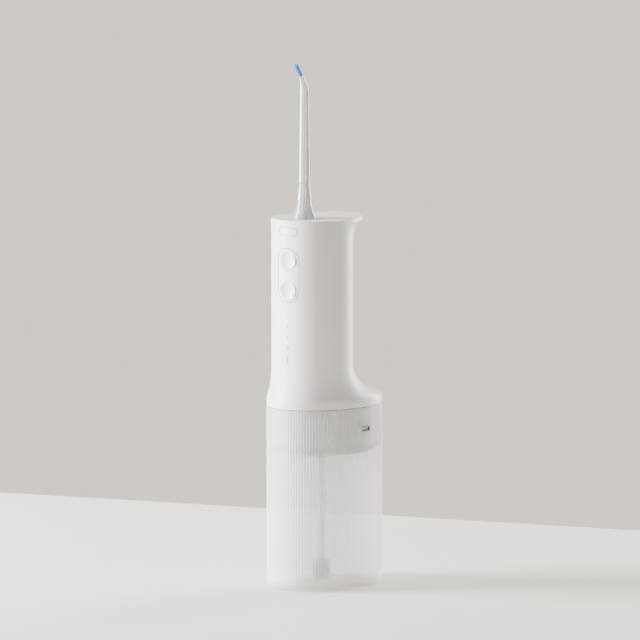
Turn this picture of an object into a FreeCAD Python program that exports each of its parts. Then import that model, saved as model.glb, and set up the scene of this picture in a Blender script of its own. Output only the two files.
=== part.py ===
import FreeCAD, Part
import math
import os

# Cordless water flosser: an oval water tank that stands on its floor, and above it a round
# handle with the pump, battery, buttons and nozzle.
# Millimetres. +Z is up, -Y is the front with the buttons, the origin is the centre of the foot.

Vector = FreeCAD.Vector
X_AXIS = Vector(1, 0, 0)
Y_AXIS = Vector(0, 1, 0)
Z_AXIS = Vector(0, 0, 1)
SIDES = (-1, 1)
FULL_TURN = 360
QUARTER_TURN = 90
ALONG_AXIS = 0.99

# ---- overall sizes ----
TANK_HALF_WIDTH = 28.2
TANK_HALF_DEPTH = 36.3
SEAM_Z = 99.0
BODY_TOP_Z = 201.0
HANDLE_RADIUS = 22.15
HANDLE_Y = -11.0
NOZZLE_Y = -18.0
WALL = 1.8

# ---- clearances ----
SEAM_GAP = 0.3
PLUG_CLEARANCE = 0.3
SEAL_CLEARANCE = 0.1
TRIM_GAP = 0.25
SLIDE_GAP = 0.2
SHAFT_CLEARANCE = 0.05
FIT_GAP = 0.5

# ---- tank ----
TANK_WALL = 2.2
TANK_FLOOR = 2.4
TANK_FOOT_ROUND = 1.6
WINDOW_DROP = 12.0
WINDOW_WIDTH = 7.6
WINDOW_HEIGHT = 3.0
LEAD_IN_DEPTH = 1.3
LEAD_IN_MARGIN = 0.3

# ---- shape of the handle's foot and of the beak at its top ----
FLARE_HEIGHT = 22.0
SKIRT_HEIGHT = 2.0
FLARE_TURN = math.radians(60)
CORNER_SHARE = 0.25
FLARE_STEPS = 8
CORNER_STEPS = 4
BEAK_OVERHANG = 12.35
BEAK_HEIGHT = 12.5
BEAK_LIP = 2.5
BEAK_TURN = math.radians(80)
BEAK_STEPS = 8
RIM_ROUND = 0.4

# ---- top cap ----
RIM_WIDTH = 0.8
CAP_THICKNESS = 1.8
CAP_HOLE_RADIUS = 6.95
CAP_CUP_WALL = 1.2
CAP_CUP_DEPTH = 2.7
CAP_CUP_FLOOR = 1.2

# ---- pump base: the plug of the handle that sits in the tank ----
PLUG_DEPTH = 21.6
PLUG_WALL = 1.6
PLUG_FLOOR = 2.0
PLUG_SPIGOT = 1.0
SEAL_HEIGHT = 2.4
SEAL_DEPTH = 2.0
SEAL_FLANGE_HEIGHT = 1.4
SEAL_FLANGE_INSET = 0.4
POST_RADIUS = 2.6
REAR_POST_X = 12.0
REAR_POST_Y = 17.0
FRONT_POST_X = 9.0
FRONT_POST_SHARE = 0.784
POST_HEIGHT = 4.5

# ---- suction line ----
INTAKE_Y = -3.0
SUCTION_OUTER = 2.25
SUCTION_INNER = 1.55
NIPPLE_RADIUS = 1.45
NIPPLE_LENGTH = 7.0
DUCT_RADIUS = 0.9
STRAINER_RADIUS = 4.6
STRAINER_HEIGHT = 9.6
STRAINER_LIFT = 1.0
STRAINER_WALL = 1.2
STRAINER_CAP = 2.4
STRAINER_SLOTS = 8
STRAINER_SLOT_WIDTH = 1.0
STRAINER_SLOT_FOOT = 1.6
TUBE_IN_STRAINER = 3.0

# ---- side catches ----
CATCH_TRAVEL = 1.4
CATCH_GAP = 0.25
CATCH_WALL_GAP = 0.5
CATCH_FLANGE_THICK = 1.2
CATCH_FLANGE_WIDTH = 9.6
CATCH_FLANGE_HEIGHT = 5.0
CATCH_SPRING_RADIUS = 1.5
CATCH_SPRING_WIRE = 0.22
CATCH_SPRING_LENGTH = 2.0
CATCH_SPRING_TURNS = 3
SPRING_STOP_THICK = 1.2
SPRING_STOP_WIDTH = 7.0
SPRING_STOP_HEIGHT = 11.6

# ---- gears and crank ----
GEAR_MODULE = 0.55
PINION_TEETH = 14
CRANK_TEETH = 42
ADDENDUM = 0.8
DEDENDUM = 1.1
PRESSURE_ANGLE = math.radians(20)
BACKLASH = 0.14
FLANK_STEPS = 4
PINION_LENGTH = 5.0
CRANK_THICKNESS = 4.0
CRANK_THROW = 3.5
CRANK_PIN_RADIUS = 1.25
AXLE_RADIUS = 1.25
AXLE_HEAD_RADIUS = 2.0
AXLE_HEAD_HEIGHT = 0.8
OPEN_PIVOT_GAP = 0.3

# ---- pump ----
PUMP_HALF_WIDTH = 7.0
PUMP_AXIS_RISE = 10.1
PUMP_ROOF = 1.5
BORE_RADIUS = 4.5
BORE_END_WALL = 3.4
HEAD_GAP = 0.5
PUMP_FRONT_WALL = 4.0
PUMP_FOOT_HEIGHT = 4.6
PUMP_FOOT_BACK = 4.5
PORT_RADIUS = 1.3
PORT_RISE = 2.4
VALVE_POCKET_RADIUS = 2.2
VALVE_RADIUS = 2.1
VALVE_FLANGE = 0.8
VALVE_LENGTH = 2.7
VALVE_TIP_RADIUS = 1.0
VALVE_SLIT = 0.3
VALVE_SHELL = 0.5
INLET_POCKET_HEIGHT = 7.0
OUTLET_POCKET_DEPTH = 3.8
INTAKE_SEAL_RADIUS = 2.1
INTAKE_SEAL_WIRE = 0.45
PISTON_RADIUS = 4.4
PISTON_NOSE = 5.0
PISTON_SKIRT = 2.0
PISTON_SLOT_HALF = 3.1
PISTON_SLOT_FRONT = 2.6
PISTON_SEAL_OUTER = 4.46
PISTON_SEAL_INNER = 3.4
PISTON_SEAL_WIDTH = 1.4
PISTON_SEAL_SETBACK = 0.9
ROD_LENGTH = 12.0
ROD_THICKNESS = 3.0
ROD_HALF_WIDTH = 1.4
ROD_BIG_EYE = 3.0
ROD_SMALL_EYE = 2.0
WRIST_PIN_RADIUS = 0.8
WRIST_PIN_HALF = 3.9

# ---- delivery hose ----
HOSE_X = 15.0
HOSE_OUTER = 2.5
HOSE_INNER = 1.5
HOSE_BEND = 5.0
ELBOW_FLANGE = 1.2
ELBOW_FLANGE_HALF = 3.2
HOSE_NIPPLE = 1.6

# ---- motor ----
MOTOR_Y = -9.0
MOTOR_RADIUS = 12.2
MOTOR_LENGTH = 31.0
MOTOR_CAN_WALL = 0.8
MOTOR_FACE = 2.0
MOTOR_BOSS_RADIUS = 3.0
MOTOR_BOSS_HEIGHT = 1.3
MOTOR_SHAFT_RADIUS = 1.0
MOTOR_END_CAP = 3.0
MAGNET_THICKNESS = 2.1
MAGNET_HEIGHT = 19.0
MAGNET_GAP = 3.0
MAGNET_START = 5.0
ARMATURE_RADIUS = 8.9
ARMATURE_INSET = 1.0
ARMATURE_POLES = 3
ARMATURE_SLOT = 1.6
ARMATURE_SLOT_DEPTH = 3.6
COMMUTATOR_RADIUS = 2.6
COMMUTATOR_HEIGHT = 3.6
TERMINAL_X = 6.0
TERMINAL_WIDTH = 2.4
TERMINAL_THICK = 0.5
TERMINAL_HEIGHT = 1.3
MOTOR_SCREW_X = 8.0

# ---- chassis ----
DECK_LIFT = 2.5
DECK_THICKNESS = 2.5
DECK_CLEARANCE = 0.5
RAIL_X = 14.2
RAIL_THICK = 2.0
RAIL_FRONT_Y = -14.0
RAIL_BACK_Y = -8.0
SHELF_THICKNESS = 1.6
SHELF_CLEARANCE = 0.45
SHELF_ABOVE_MOTOR = 1.6
BOARD_LUG_HALF = 6.0
BOARD_LUG_DEPTH = 3.5
BOARD_LUG_HEIGHT = 5.2
SHELL_BOSS_X = 16.5
SHELL_BOSS_Y = -3.0
SHELL_BOSS_RADIUS = 2.5
SHELL_BOSS_HEIGHT = 14.0

# ---- battery ----
CELL_RADIUS = 9.15
CELL_LENGTH = 49.8
CELL_Y = -0.5
CELL_TAB = 0.2
CELL_TAB_WIDTH = 5.0
CELL_TAB_REACH = 4.0

# ---- boards ----
BOARD_BACK_Y = -26.0
BOARD_THICKNESS = 1.2
BOARD_HALF_WIDTH = 9.5
BOARD_FOOT_Z = 118.0
BOARD_TOP_Z = 186.0
CHIP_SIDE = 6.0
CHIP_HEIGHT = 1.0
CHIP_GAP = 2.0
CHIP_COUNT = 2
SWITCH_SIDE = 5.2
SWITCH_HEIGHT = 2.0
PLUNGER_RADIUS = 1.4
PLUNGER_HEIGHT = 0.5
LED_WIDTH = 1.6
LED_HEIGHT = 0.8

# ---- buttons and their panel ----
PANEL_HALF_WIDTH = 6.7
PANEL_HALF_HEIGHT = 14.5
PANEL_Z = 171.4
PANEL_DEPTH = 1.3
PANEL_SUNK = 0.05
PANEL_LEDGE = 0.7
BUTTON_RADIUS = 5.05
BUTTON_SPACING = 16.35
BUTTON_SUNK = 0.15
BUTTON_GAP = 0.15
BUTTON_TRAVEL = 0.5
BUTTON_STOP_GAP = 0.05
BUTTON_DISH_RADIUS = 15.0
BUTTON_DISH_DEPTH = 0.7
BUTTON_FLANGE_RADIUS = 5.5
BUTTON_FLANGE_THICK = 0.5
BUTTON_STEM_RADIUS = 1.5
PANEL_SEAL_WIDTH = 0.9
PANEL_SEAL_THICK = 0.8

# ---- indicator lights ----
LIGHT_DOT_RADIUS = 0.5
LIGHT_WIDE_RADIUS = 0.85
LIGHT_BAR_HALF_WIDTH = 0.45
LIGHT_BAR_HALF_HEIGHT = 1.9
LIGHT_FIRST_Z = 143.7
LIGHT_DOT_COUNT = 3
LIGHT_PITCH = 5.75
LIGHT_GUIDE_HALF = 1.6
LIGHT_GUIDE_THICK = 0.9
LIGHT_GUIDE_END = 2.4
LIGHT_SUNK = 0.05

# ---- nozzle release ----
RELEASE_DROP = 5.9
RELEASE_HALF_WIDTH = 5.8
RELEASE_HALF_HEIGHT = 2.1
RELEASE_SUNK = 0.1
RELEASE_TRAVEL = 1.2
RELEASE_FLANGE_THICK = 1.0
RELEASE_FLANGE_MARGIN = 0.9
RELEASE_FLANGE_SETBACK = 3.1
SLIDER_HALF_WIDTH = 4.5
SLIDER_THICK = 1.6
SLIDER_BACK = 8.5
SLIDER_HOLE_CLEARANCE = 0.3
RELEASE_SPRING_RADIUS = 1.5
RELEASE_SPRING_WIRE = 0.25
RELEASE_SPRING_LENGTH = 2.9
RELEASE_SPRING_TURNS = 4
SPRING_TAB_HALF = 3.0
SPRING_TAB_THICK = 1.2
SPRING_TAB_OVER = 2.3

# ---- nozzle and what holds it ----
SEAT_RADIUS = 7.4
SEAT_FOOT_DROP = 25.0
SEAT_TOP_DROP = 8.2
SEAT_BORE = 5.75
SEAT_FLOOR = 5.0
SEAT_PORT_RISE = 3.0
SEAT_PORT_RADIUS = 0.9
SEAT_CROSS_RADIUS = 1.1
COLLAR_RADIUS = 5.6
COLLAR_BORE = 3.05
COLLAR_LENGTH = 11.0
COLLAR_FOOT_GAP = 0.4
COLLAR_RING_RISE = 2.6
COLLAR_RING_RADIUS = 5.15
COLLAR_RING_WIRE = 0.52
STEM_RADIUS = 2.9
STEM_LENGTH = 16.0
STEM_RING_RISE = 3.0
STEM_RING_RADIUS = 2.6
STEM_RING_WIRE = 0.4
RING_GROOVE_GAP = 0.05
NOZZLE_BORE = 0.75
BELL_FOOT_SUNK = 1.0
BELL_FOOT_RADIUS = 6.6
BELL_RIM_HEIGHT = 1.8
BELL_LIP_HEIGHT = 3.8
BELL_LIP_RADIUS = 6.2
BELL_WAIST_HEIGHT = 11.5
BELL_WAIST_RADIUS = 3.75
BELL_HOLLOW = 1 / 3
BELL_STEPS = 6
BELL_TOP_HEIGHT = 18.5
BELL_TOP_RADIUS = 3.4
BELL_WALL = 0.9
BELL_FINS = 4
BELL_FIN_THICK = 0.9
BELL_CORE_RADIUS = 2.4
TUBE_FOOT_RADIUS = 3.05
TUBE_BEND_RADIUS = 2.35
TUBE_END_RADIUS = 1.4
TUBE_BEND_HEIGHT = 68.5
BEND_CENTRE_RADIUS = 17.0
BEND_ANGLE = math.radians(37)
BEND_STEPS = 6
TIP_LENGTH = 7.3
TIP_RADIUS = 1.55
TIP_SPIGOT_RADIUS = 1.05
TIP_SPIGOT_LENGTH = 3.0
TIP_ROUND = 0.6
TIP_JET_RADIUS = 0.4

# ---- charging socket and its cover ----
SOCKET_ABOVE_SEAM = 29.0
SOCKET_HALF_WIDTH = 4.45
SOCKET_HALF_HEIGHT = 1.6
SOCKET_WALL = 0.3
SOCKET_LENGTH = 6.0
SOCKET_DEPTH = 5.0
SOCKET_SUNK = 1.7
TONGUE_HALF_WIDTH = 3.3
TONGUE_HALF_HEIGHT = 0.35
TONGUE_LENGTH = 4.0
SOCKET_CLEARANCE = 0.35
SOCKET_BOARD_HALF = 6.0
SOCKET_BOARD_THICK = 0.8
SOCKET_BOARD_BACK = 1.3
COVER_HALF_WIDTH = 7.7
COVER_HEIGHT = 8.1
COVER_DROP = 3.9
COVER_CORNER = 2.0
COVER_THICKNESS = 1.0
COVER_FLOOR_GAP = 0.1
COVER_EDGE_GAP = 0.3
COVER_BEAD_RADIUS = 0.4
COVER_BEAD_HALF = 3.9
COVER_PIVOT_SUNK = 0.65
COVER_NUB_HALF_WIDTH = 3.8
COVER_NUB_HALF_HEIGHT = 0.95
COVER_NUB_LENGTH = 1.2

# ---- screws ----
SCREW_RADIUS = 0.9
SCREW_HEAD_RADIUS = 1.8
SCREW_HEAD_HEIGHT = 1.3
SCREW_CLEARANCE = 0.2
DRIVE_RADIUS = 0.8
DRIVE_DEPTH = 0.6
BASE_SCREW_LENGTH = 9.0
SHELL_SCREW_LENGTH = 8.0
MOTOR_SCREW_LENGTH = 4.0
BOARD_SCREW_LENGTH = 4.0
BOARD_SCREW_X = 4.0
BASE_HEAD_RECESS = 0.3

# ---- places worked out from the sizes above ----
TANK_TOP_Z = SEAM_Z - SEAM_GAP
TANK_INNER_WIDTH = TANK_HALF_WIDTH - TANK_WALL
TANK_INNER_DEPTH = TANK_HALF_DEPTH - TANK_WALL
WINDOW_Z = SEAM_Z - WINDOW_DROP
FLARE_TOP_Z = SEAM_Z + FLARE_HEIGHT
SKIRT_TOP_Z = SEAM_Z + SKIRT_HEIGHT
BEAK_FOOT_Z = BODY_TOP_Z - BEAK_HEIGHT
BEAK_LIP_Z = BODY_TOP_Z - BEAK_LIP
CAP_FOOT_Z = BODY_TOP_Z - CAP_THICKNESS
HANDLE_FRONT_Y = HANDLE_Y - HANDLE_RADIUS
HANDLE_BACK_Y = HANDLE_Y + HANDLE_RADIUS
CAVITY_RADIUS = HANDLE_RADIUS - WALL

PLUG_FOOT_Z = SEAM_Z - PLUG_DEPTH
PLUG_FLOOR_Z = PLUG_FOOT_Z + PLUG_FLOOR
PLUG_TOP_Z = SEAM_Z + PLUG_SPIGOT
PLUG_HALF_WIDTH = TANK_INNER_WIDTH - PLUG_CLEARANCE
PLUG_HALF_DEPTH = TANK_INNER_DEPTH - PLUG_CLEARANCE
SEAL_FOOT_Z = PLUG_FOOT_Z - SEAL_HEIGHT
FLANGE_FOOT_Z = SEAL_FOOT_Z - SEAL_FLANGE_HEIGHT
CATCH_FLANGE_X = PLUG_HALF_WIDTH - PLUG_WALL - CATCH_WALL_GAP
FRONT_POST_Y = -FRONT_POST_SHARE * PLUG_HALF_DEPTH
POSTS = [
    (side * x, y) for side in SIDES for x, y in ((REAR_POST_X, REAR_POST_Y), (FRONT_POST_X, FRONT_POST_Y))
]
POST_TOP_Z = PLUG_FLOOR_Z + POST_HEIGHT

STRAINER_FOOT_Z = TANK_FLOOR + STRAINER_LIFT
STRAINER_TOP_Z = STRAINER_FOOT_Z + STRAINER_HEIGHT

DECK_FOOT_Z = SEAM_Z + DECK_LIFT
DECK_TOP_Z = DECK_FOOT_Z + DECK_THICKNESS
MOTOR_TOP_Z = DECK_TOP_Z + MOTOR_LENGTH
LOWER_SHELF_Z = MOTOR_TOP_Z + SHELF_ABOVE_MOTOR
CELL_FOOT_Z = LOWER_SHELF_Z + SHELF_THICKNESS + CELL_TAB
CELL_TOP_Z = CELL_FOOT_Z + CELL_LENGTH
UPPER_SHELF_Z = CELL_TOP_Z + CELL_TAB + FIT_GAP

PITCH_PER_TOOTH = GEAR_MODULE / 2
GEAR_DISTANCE = PITCH_PER_TOOTH * (PINION_TEETH + CRANK_TEETH)
CRANK_Y = MOTOR_Y + GEAR_DISTANCE
PUMP_AXIS_Z = PLUG_FLOOR_Z + PUMP_AXIS_RISE
PUMP_TOP_Z = PUMP_AXIS_Z + BORE_RADIUS + PUMP_ROOF
CRANK_FOOT_Z = PUMP_TOP_Z + FIT_GAP
CRANK_TOP_Z = CRANK_FOOT_Z + CRANK_THICKNESS
PINION_FOOT_Z = CRANK_FOOT_Z - SLIDE_GAP
WRIST_Y = CRANK_Y - CRANK_THROW - ROD_LENGTH
BORE_END_Y = WRIST_Y - PISTON_NOSE - HEAD_GAP
VALVE_Y = BORE_END_Y - BORE_END_WALL
PUMP_FRONT_Y = VALVE_Y - PUMP_FRONT_WALL
BORE_MOUTH_Y = WRIST_Y + PISTON_SKIRT + 2 * CRANK_THROW - PISTON_NOSE / 2 - FIT_GAP / 2
ROD_FOOT_Z = PUMP_AXIS_Z - ROD_THICKNESS / 2
ROD_TOP_Z = PUMP_AXIS_Z + ROD_THICKNESS / 2

BOARD_FRONT_Y = BOARD_BACK_Y - BOARD_THICKNESS
PLUNGER_END_Y = BOARD_FRONT_Y - SWITCH_HEIGHT - PLUNGER_HEIGHT
BUTTON_HEIGHTS = [PANEL_Z + side * BUTTON_SPACING / 2 for side in SIDES]
LIGHT_HEIGHTS = [LIGHT_FIRST_Z - index * LIGHT_PITCH for index in range(LIGHT_DOT_COUNT)]
LIGHT_BAR_Z = LIGHT_HEIGHTS[-1] - LIGHT_PITCH - LIGHT_WIDE_RADIUS

SEAT_FOOT_Z = BODY_TOP_Z - SEAT_FOOT_DROP
SEAT_TOP_Z = BODY_TOP_Z - SEAT_TOP_DROP
SEAT_PORT_Z = SEAT_FOOT_Z + SEAT_PORT_RISE
COLLAR_FOOT_Z = SEAT_FOOT_Z + SEAT_FLOOR + COLLAR_FOOT_GAP
BELL_FOOT_Z = BODY_TOP_Z - BELL_FOOT_SUNK
STEM_FOOT_Z = BELL_FOOT_Z - STEM_LENGTH
RELEASE_Z = BODY_TOP_Z - RELEASE_DROP
RELEASE_FLANGE_Y = HANDLE_FRONT_Y + RELEASE_FLANGE_SETBACK
SLIDER_FOOT_Z = SEAT_TOP_Z + FIT_GAP
SLIDER_BACK_Y = NOZZLE_Y + SLIDER_BACK

SOCKET_Z = SEAM_Z + SOCKET_ABOVE_SEAM
SOCKET_BACK_Y = HANDLE_BACK_Y - SOCKET_SUNK
COVER_FOOT_Z = SOCKET_Z - COVER_DROP
COVER_PIVOT_Y = HANDLE_BACK_Y - COVER_PIVOT_SUNK


# ---- plain shapes ----
def box(x_range, y_range, z_range):
    size = [high - low for low, high in (x_range, y_range, z_range)]
    return Part.makeBox(*size, Vector(x_range[0], y_range[0], z_range[0]))


def rod_x(radius, y, z, x_start, x_end):
    return Part.makeCylinder(radius, x_end - x_start, Vector(x_start, y, z), X_AXIS)


def rod_y(radius, x, z, y_start, y_end):
    return Part.makeCylinder(radius, y_end - y_start, Vector(x, y_start, z), Y_AXIS)


def rod_z(radius, x, y, z_start, z_end):
    return Part.makeCylinder(radius, z_end - z_start, Vector(x, y, z_start), Z_AXIS)


def pipe_z(outer, inner, x, y, z_start, z_end):
    return rod_z(outer, x, y, z_start, z_end).cut(rod_z(inner, x, y, z_start, z_end))


def pill_y(half_width, half_height, z, y_start, y_end):
    """A prism along Y with an upright or lying pill outline."""
    radius = min(half_width, half_height)
    reach_x = half_width - radius
    reach_z = half_height - radius
    ends = [rod_y(radius, side * reach_x, z + side * reach_z, y_start, y_end) for side in SIDES]
    if reach_x > reach_z:
        middle = box((-reach_x, reach_x), (y_start, y_end), (z - radius, z + radius))
    elif reach_z > 0:
        middle = box((-radius, radius), (y_start, y_end), (z - reach_z, z + reach_z))
    else:
        middle = ends[1]
    return ends[0].fuse([ends[1], middle]).removeSplitter()


def edges_along(shape, axis):
    """The straight edges that run along an axis."""
    return [edge for edge in shape.Edges if abs(edge.tangentAt(edge.FirstParameter).dot(axis)) > ALONG_AXIS]


def handle_ring(inner, outer, z_start, z_end):
    """A ring round the handle's axis."""
    return pipe_z(outer, inner, 0, HANDLE_Y, z_start, z_end)


def helix_spring(radius, wire, length, turns, start, direction):
    """A coil of round wire, its centre line running length from start along direction."""
    pitch = length / turns
    path = Part.makeHelix(pitch, length, radius)
    section = Part.Wire([Part.makeCircle(wire, Vector(radius, 0, 0), Y_AXIS)])
    coil = Part.Wire(path).makePipeShell([section], True, True)
    coil.Placement = FreeCAD.Placement(start, FreeCAD.Rotation(Z_AXIS, direction))
    return coil


def screw(x, y, z, length, direction):
    """A pan-head screw; the point given is under its head, direction is the way it is driven."""
    shank = Part.makeCylinder(SCREW_RADIUS, length)
    head = Part.makeCylinder(SCREW_HEAD_RADIUS, SCREW_HEAD_HEIGHT, Vector(0, 0, -SCREW_HEAD_HEIGHT))
    drive = Part.makeCylinder(DRIVE_RADIUS, DRIVE_DEPTH, Vector(0, 0, -SCREW_HEAD_HEIGHT))
    whole = shank.fuse(head).cut(drive)
    whole.Placement = FreeCAD.Placement(Vector(x, y, z), FreeCAD.Rotation(Z_AXIS, direction))
    return whole


# ---- ovals: a front half and a back half that meet at the two sides ----
def half_oval(half_width, reach, y, z):
    """Half an ellipse from +X to -X; a positive reach bulges to the back, a negative to the front."""
    arc = Part.Arc(Vector(1, 0, 0), Vector(0, 1, 0), Vector(-1, 0, 0)).toShape()
    stretch = FreeCAD.Matrix(half_width, 0, 0, 0, 0, reach, 0, y, 0, 0, 1, z, 0, 0, 0, 1)
    return arc.transformGeometry(stretch)


def oval_wire(half_width, front, back, y, z):
    return Part.Wire([half_oval(half_width, back, y, z), half_oval(half_width, -front, y, z)])


def oval_prism(half_width, front, back, y, z_start, z_end):
    face = Part.Face(oval_wire(half_width, front, back, y, z_start))
    return face.extrude(Vector(0, 0, z_end - z_start))


def tank_oval(inset, z_start, z_end):
    half_depth = TANK_HALF_DEPTH - inset
    return oval_prism(TANK_HALF_WIDTH - inset, half_depth, half_depth, 0, z_start, z_end)


# ---- outline of the handle ----
def foot_outline(share, inset):
    """Half width, half depth and centre of the handle's section; share 0 is round, 1 is the tank's oval."""
    half_width = HANDLE_RADIUS + share * (TANK_HALF_WIDTH - HANDLE_RADIUS) - inset
    half_depth = HANDLE_RADIUS + share * (TANK_HALF_DEPTH - HANDLE_RADIUS) - inset
    return half_width, half_depth, HANDLE_Y * (1 - share)


def flare_scales():
    """Heights and shares of the hollow curve and of the rounded corner that make the flare."""
    height = (FLARE_TOP_Z - SKIRT_TOP_Z) / math.sin(FLARE_TURN) / (1 + CORNER_SHARE)
    share = 1 / (1 - math.cos(FLARE_TURN)) / (1 + CORNER_SHARE)
    return height, share


def flare_stations():
    """Height and share of each section, from the round handle down to the oval skirt."""
    height, share = flare_scales()
    stations = []
    for step in range(FLARE_STEPS + 1):
        turn = FLARE_TURN * step / FLARE_STEPS
        stations.append((FLARE_TOP_Z - height * math.sin(turn), share * (1 - math.cos(turn))))
    for step in range(1, CORNER_STEPS + 1):
        turn = FLARE_TURN * (1 - step / CORNER_STEPS)
        rise = CORNER_SHARE * height * math.sin(turn)
        stations.append((SKIRT_TOP_Z + rise, 1 - CORNER_SHARE * share * (1 - math.cos(turn))))
    return stations


def flare_share(z):
    """How far the handle's outside has spread towards the tank's oval at height z."""
    height, share = flare_scales()
    turn_z = FLARE_TOP_Z - height * math.sin(FLARE_TURN)
    if z >= FLARE_TOP_Z:
        return 0.0
    if z <= SKIRT_TOP_Z:
        return 1.0
    if z > turn_z:
        return share * (1 - math.sqrt(1 - ((FLARE_TOP_Z - z) / height) ** 2))
    rise = (z - SKIRT_TOP_Z) / (CORNER_SHARE * height)
    return 1 - CORNER_SHARE * share * (1 - math.sqrt(1 - rise ** 2))


def beak_reach(share, inset):
    return HANDLE_RADIUS + share * BEAK_OVERHANG - inset


def loft(wires):
    return Part.makeLoft(wires, True, False)


def handle_body(inset):
    """The handle's outside, or with an inset the hollow inside it, a wall thinner all round.

    The hollow runs on above the handle, so that it opens into the pocket of the top cap.
    """
    flare = []
    for z, share in flare_stations():
        half_width, half_depth, y = foot_outline(share, inset)
        flare.append(oval_wire(half_width, half_depth, half_depth, y, z - inset))
    radius = HANDLE_RADIUS - inset
    beak = []
    rise = (BEAK_LIP_Z - BEAK_FOOT_Z) / math.sin(BEAK_TURN)
    for step in range(BEAK_STEPS + 1):
        turn = BEAK_TURN * step / BEAK_STEPS
        z = BEAK_FOOT_Z + inset + rise * math.sin(turn)
        share = (1 - math.cos(turn)) / (1 - math.cos(BEAK_TURN))
        beak.append(oval_wire(radius, radius, beak_reach(share, inset), HANDLE_Y, z))
    skirt = tank_oval(inset, SEAM_Z, SKIRT_TOP_Z - inset)
    column = rod_z(radius, 0, HANDLE_Y, FLARE_TOP_Z - inset, BEAK_FOOT_Z + inset)
    reach = beak_reach(1, inset)
    lip = oval_prism(radius, radius, reach, HANDLE_Y, BEAK_LIP_Z + inset, BODY_TOP_Z + inset)
    return skirt.fuse([loft(flare), column, loft(beak), lip])


# ---- tank ----
def tank_shell():
    body = tank_oval(0, 0, TANK_TOP_Z)
    foot_edges = [edge for edge in body.Edges if edge.BoundBox.ZMax < TANK_FOOT_ROUND]
    body = body.makeFillet(TANK_FOOT_ROUND, foot_edges)
    body = body.cut(tank_oval(TANK_WALL, TANK_FLOOR, TANK_TOP_Z))
    half = WINDOW_WIDTH / 2
    groove_half = half + LEAD_IN_MARGIN
    groove_x = TANK_INNER_WIDTH + LEAD_IN_DEPTH
    window_z = (WINDOW_Z - WINDOW_HEIGHT / 2, WINDOW_Z + WINDOW_HEIGHT / 2)
    cuts = []
    for side in SIDES:
        window = rod_range(side, 0, TANK_HALF_WIDTH + TANK_WALL)
        groove = rod_range(side, 0, groove_x)
        cuts.append(box(window, (-half, half), window_z))
        cuts.append(box(groove, (-groove_half, groove_half), (window_z[0], TANK_TOP_Z)))
    return body.cut(cuts)


def rod_range(side, near, far):
    """An interval along X on one side, ordered low to high."""
    return tuple(sorted((side * near, side * far)))


# ---- pump base and its seal ----
def pump_base():
    wall = oval_prism(PLUG_HALF_WIDTH, PLUG_HALF_DEPTH, PLUG_HALF_DEPTH, 0, PLUG_FOOT_Z, PLUG_TOP_Z)
    inner = (PLUG_HALF_WIDTH - PLUG_WALL, PLUG_HALF_DEPTH - PLUG_WALL)
    body = wall.cut(oval_prism(inner[0], inner[1], inner[1], 0, PLUG_FLOOR_Z, PLUG_TOP_Z))
    neck = (PLUG_HALF_WIDTH - SEAL_DEPTH, PLUG_HALF_DEPTH - SEAL_DEPTH)
    flange = (PLUG_HALF_WIDTH - SEAL_FLANGE_INSET, PLUG_HALF_DEPTH - SEAL_FLANGE_INSET)
    additions = [
        oval_prism(neck[0], neck[1], neck[1], 0, SEAL_FOOT_Z, PLUG_FOOT_Z),
        oval_prism(flange[0], flange[1], flange[1], 0, FLANGE_FOOT_Z, SEAL_FOOT_Z),
        rod_z(NIPPLE_RADIUS, 0, INTAKE_Y, FLANGE_FOOT_Z - NIPPLE_LENGTH, FLANGE_FOOT_Z),
    ]
    additions += [rod_z(POST_RADIUS, x, y, PLUG_FLOOR_Z, POST_TOP_Z) for x, y in POSTS]
    stop_inner = spring_stop_x()
    for side in SIDES:
        stop = rod_range(side, stop_inner, stop_inner + SPRING_STOP_THICK)
        half = SPRING_STOP_WIDTH / 2
        additions.append(box(stop, (-half, half), (PLUG_FLOOR_Z, PLUG_FLOOR_Z + SPRING_STOP_HEIGHT)))
    body = body.fuse(additions)
    cuts = [rod_z(DUCT_RADIUS, 0, INTAKE_Y, FLANGE_FOOT_Z - NIPPLE_LENGTH, PLUG_FLOOR_Z)]
    half = WINDOW_WIDTH / 2
    window_z = (WINDOW_Z - WINDOW_HEIGHT / 2, WINDOW_Z + WINDOW_HEIGHT / 2)
    head_top = PLUG_FOOT_Z + SCREW_HEAD_HEIGHT + BASE_HEAD_RECESS
    behind_wall = (inner[0] + stop_inner) / 2
    for side in SIDES:
        cuts.append(box(rod_range(side, behind_wall, TANK_HALF_WIDTH), (-half, half), window_z))
    for x, y in POSTS:
        cuts.append(rod_z(SCREW_RADIUS, x, y, FLANGE_FOOT_Z, POST_TOP_Z))
        cuts.append(rod_z(SCREW_HEAD_RADIUS + SCREW_CLEARANCE, x, y, FLANGE_FOOT_Z, head_top))
    return body.cut(cuts)


def tank_gasket():
    outer = (TANK_INNER_WIDTH - SEAL_CLEARANCE, TANK_INNER_DEPTH - SEAL_CLEARANCE)
    inner = (PLUG_HALF_WIDTH - SEAL_DEPTH, PLUG_HALF_DEPTH - SEAL_DEPTH)
    ring = oval_prism(outer[0], outer[1], outer[1], 0, SEAL_FOOT_Z, PLUG_FOOT_Z)
    return ring.cut(oval_prism(inner[0], inner[1], inner[1], 0, SEAL_FOOT_Z, PLUG_FOOT_Z))


def base_screws():
    under_head = PLUG_FOOT_Z + SCREW_HEAD_HEIGHT + BASE_HEAD_RECESS
    return [screw(x, y, under_head, BASE_SCREW_LENGTH, Z_AXIS) for x, y in POSTS]


# ---- suction line ----
def suction_tube():
    foot = STRAINER_TOP_Z - TUBE_IN_STRAINER
    return pipe_z(SUCTION_OUTER, SUCTION_INNER, 0, INTAKE_Y, foot, FLANGE_FOOT_Z)


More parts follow.
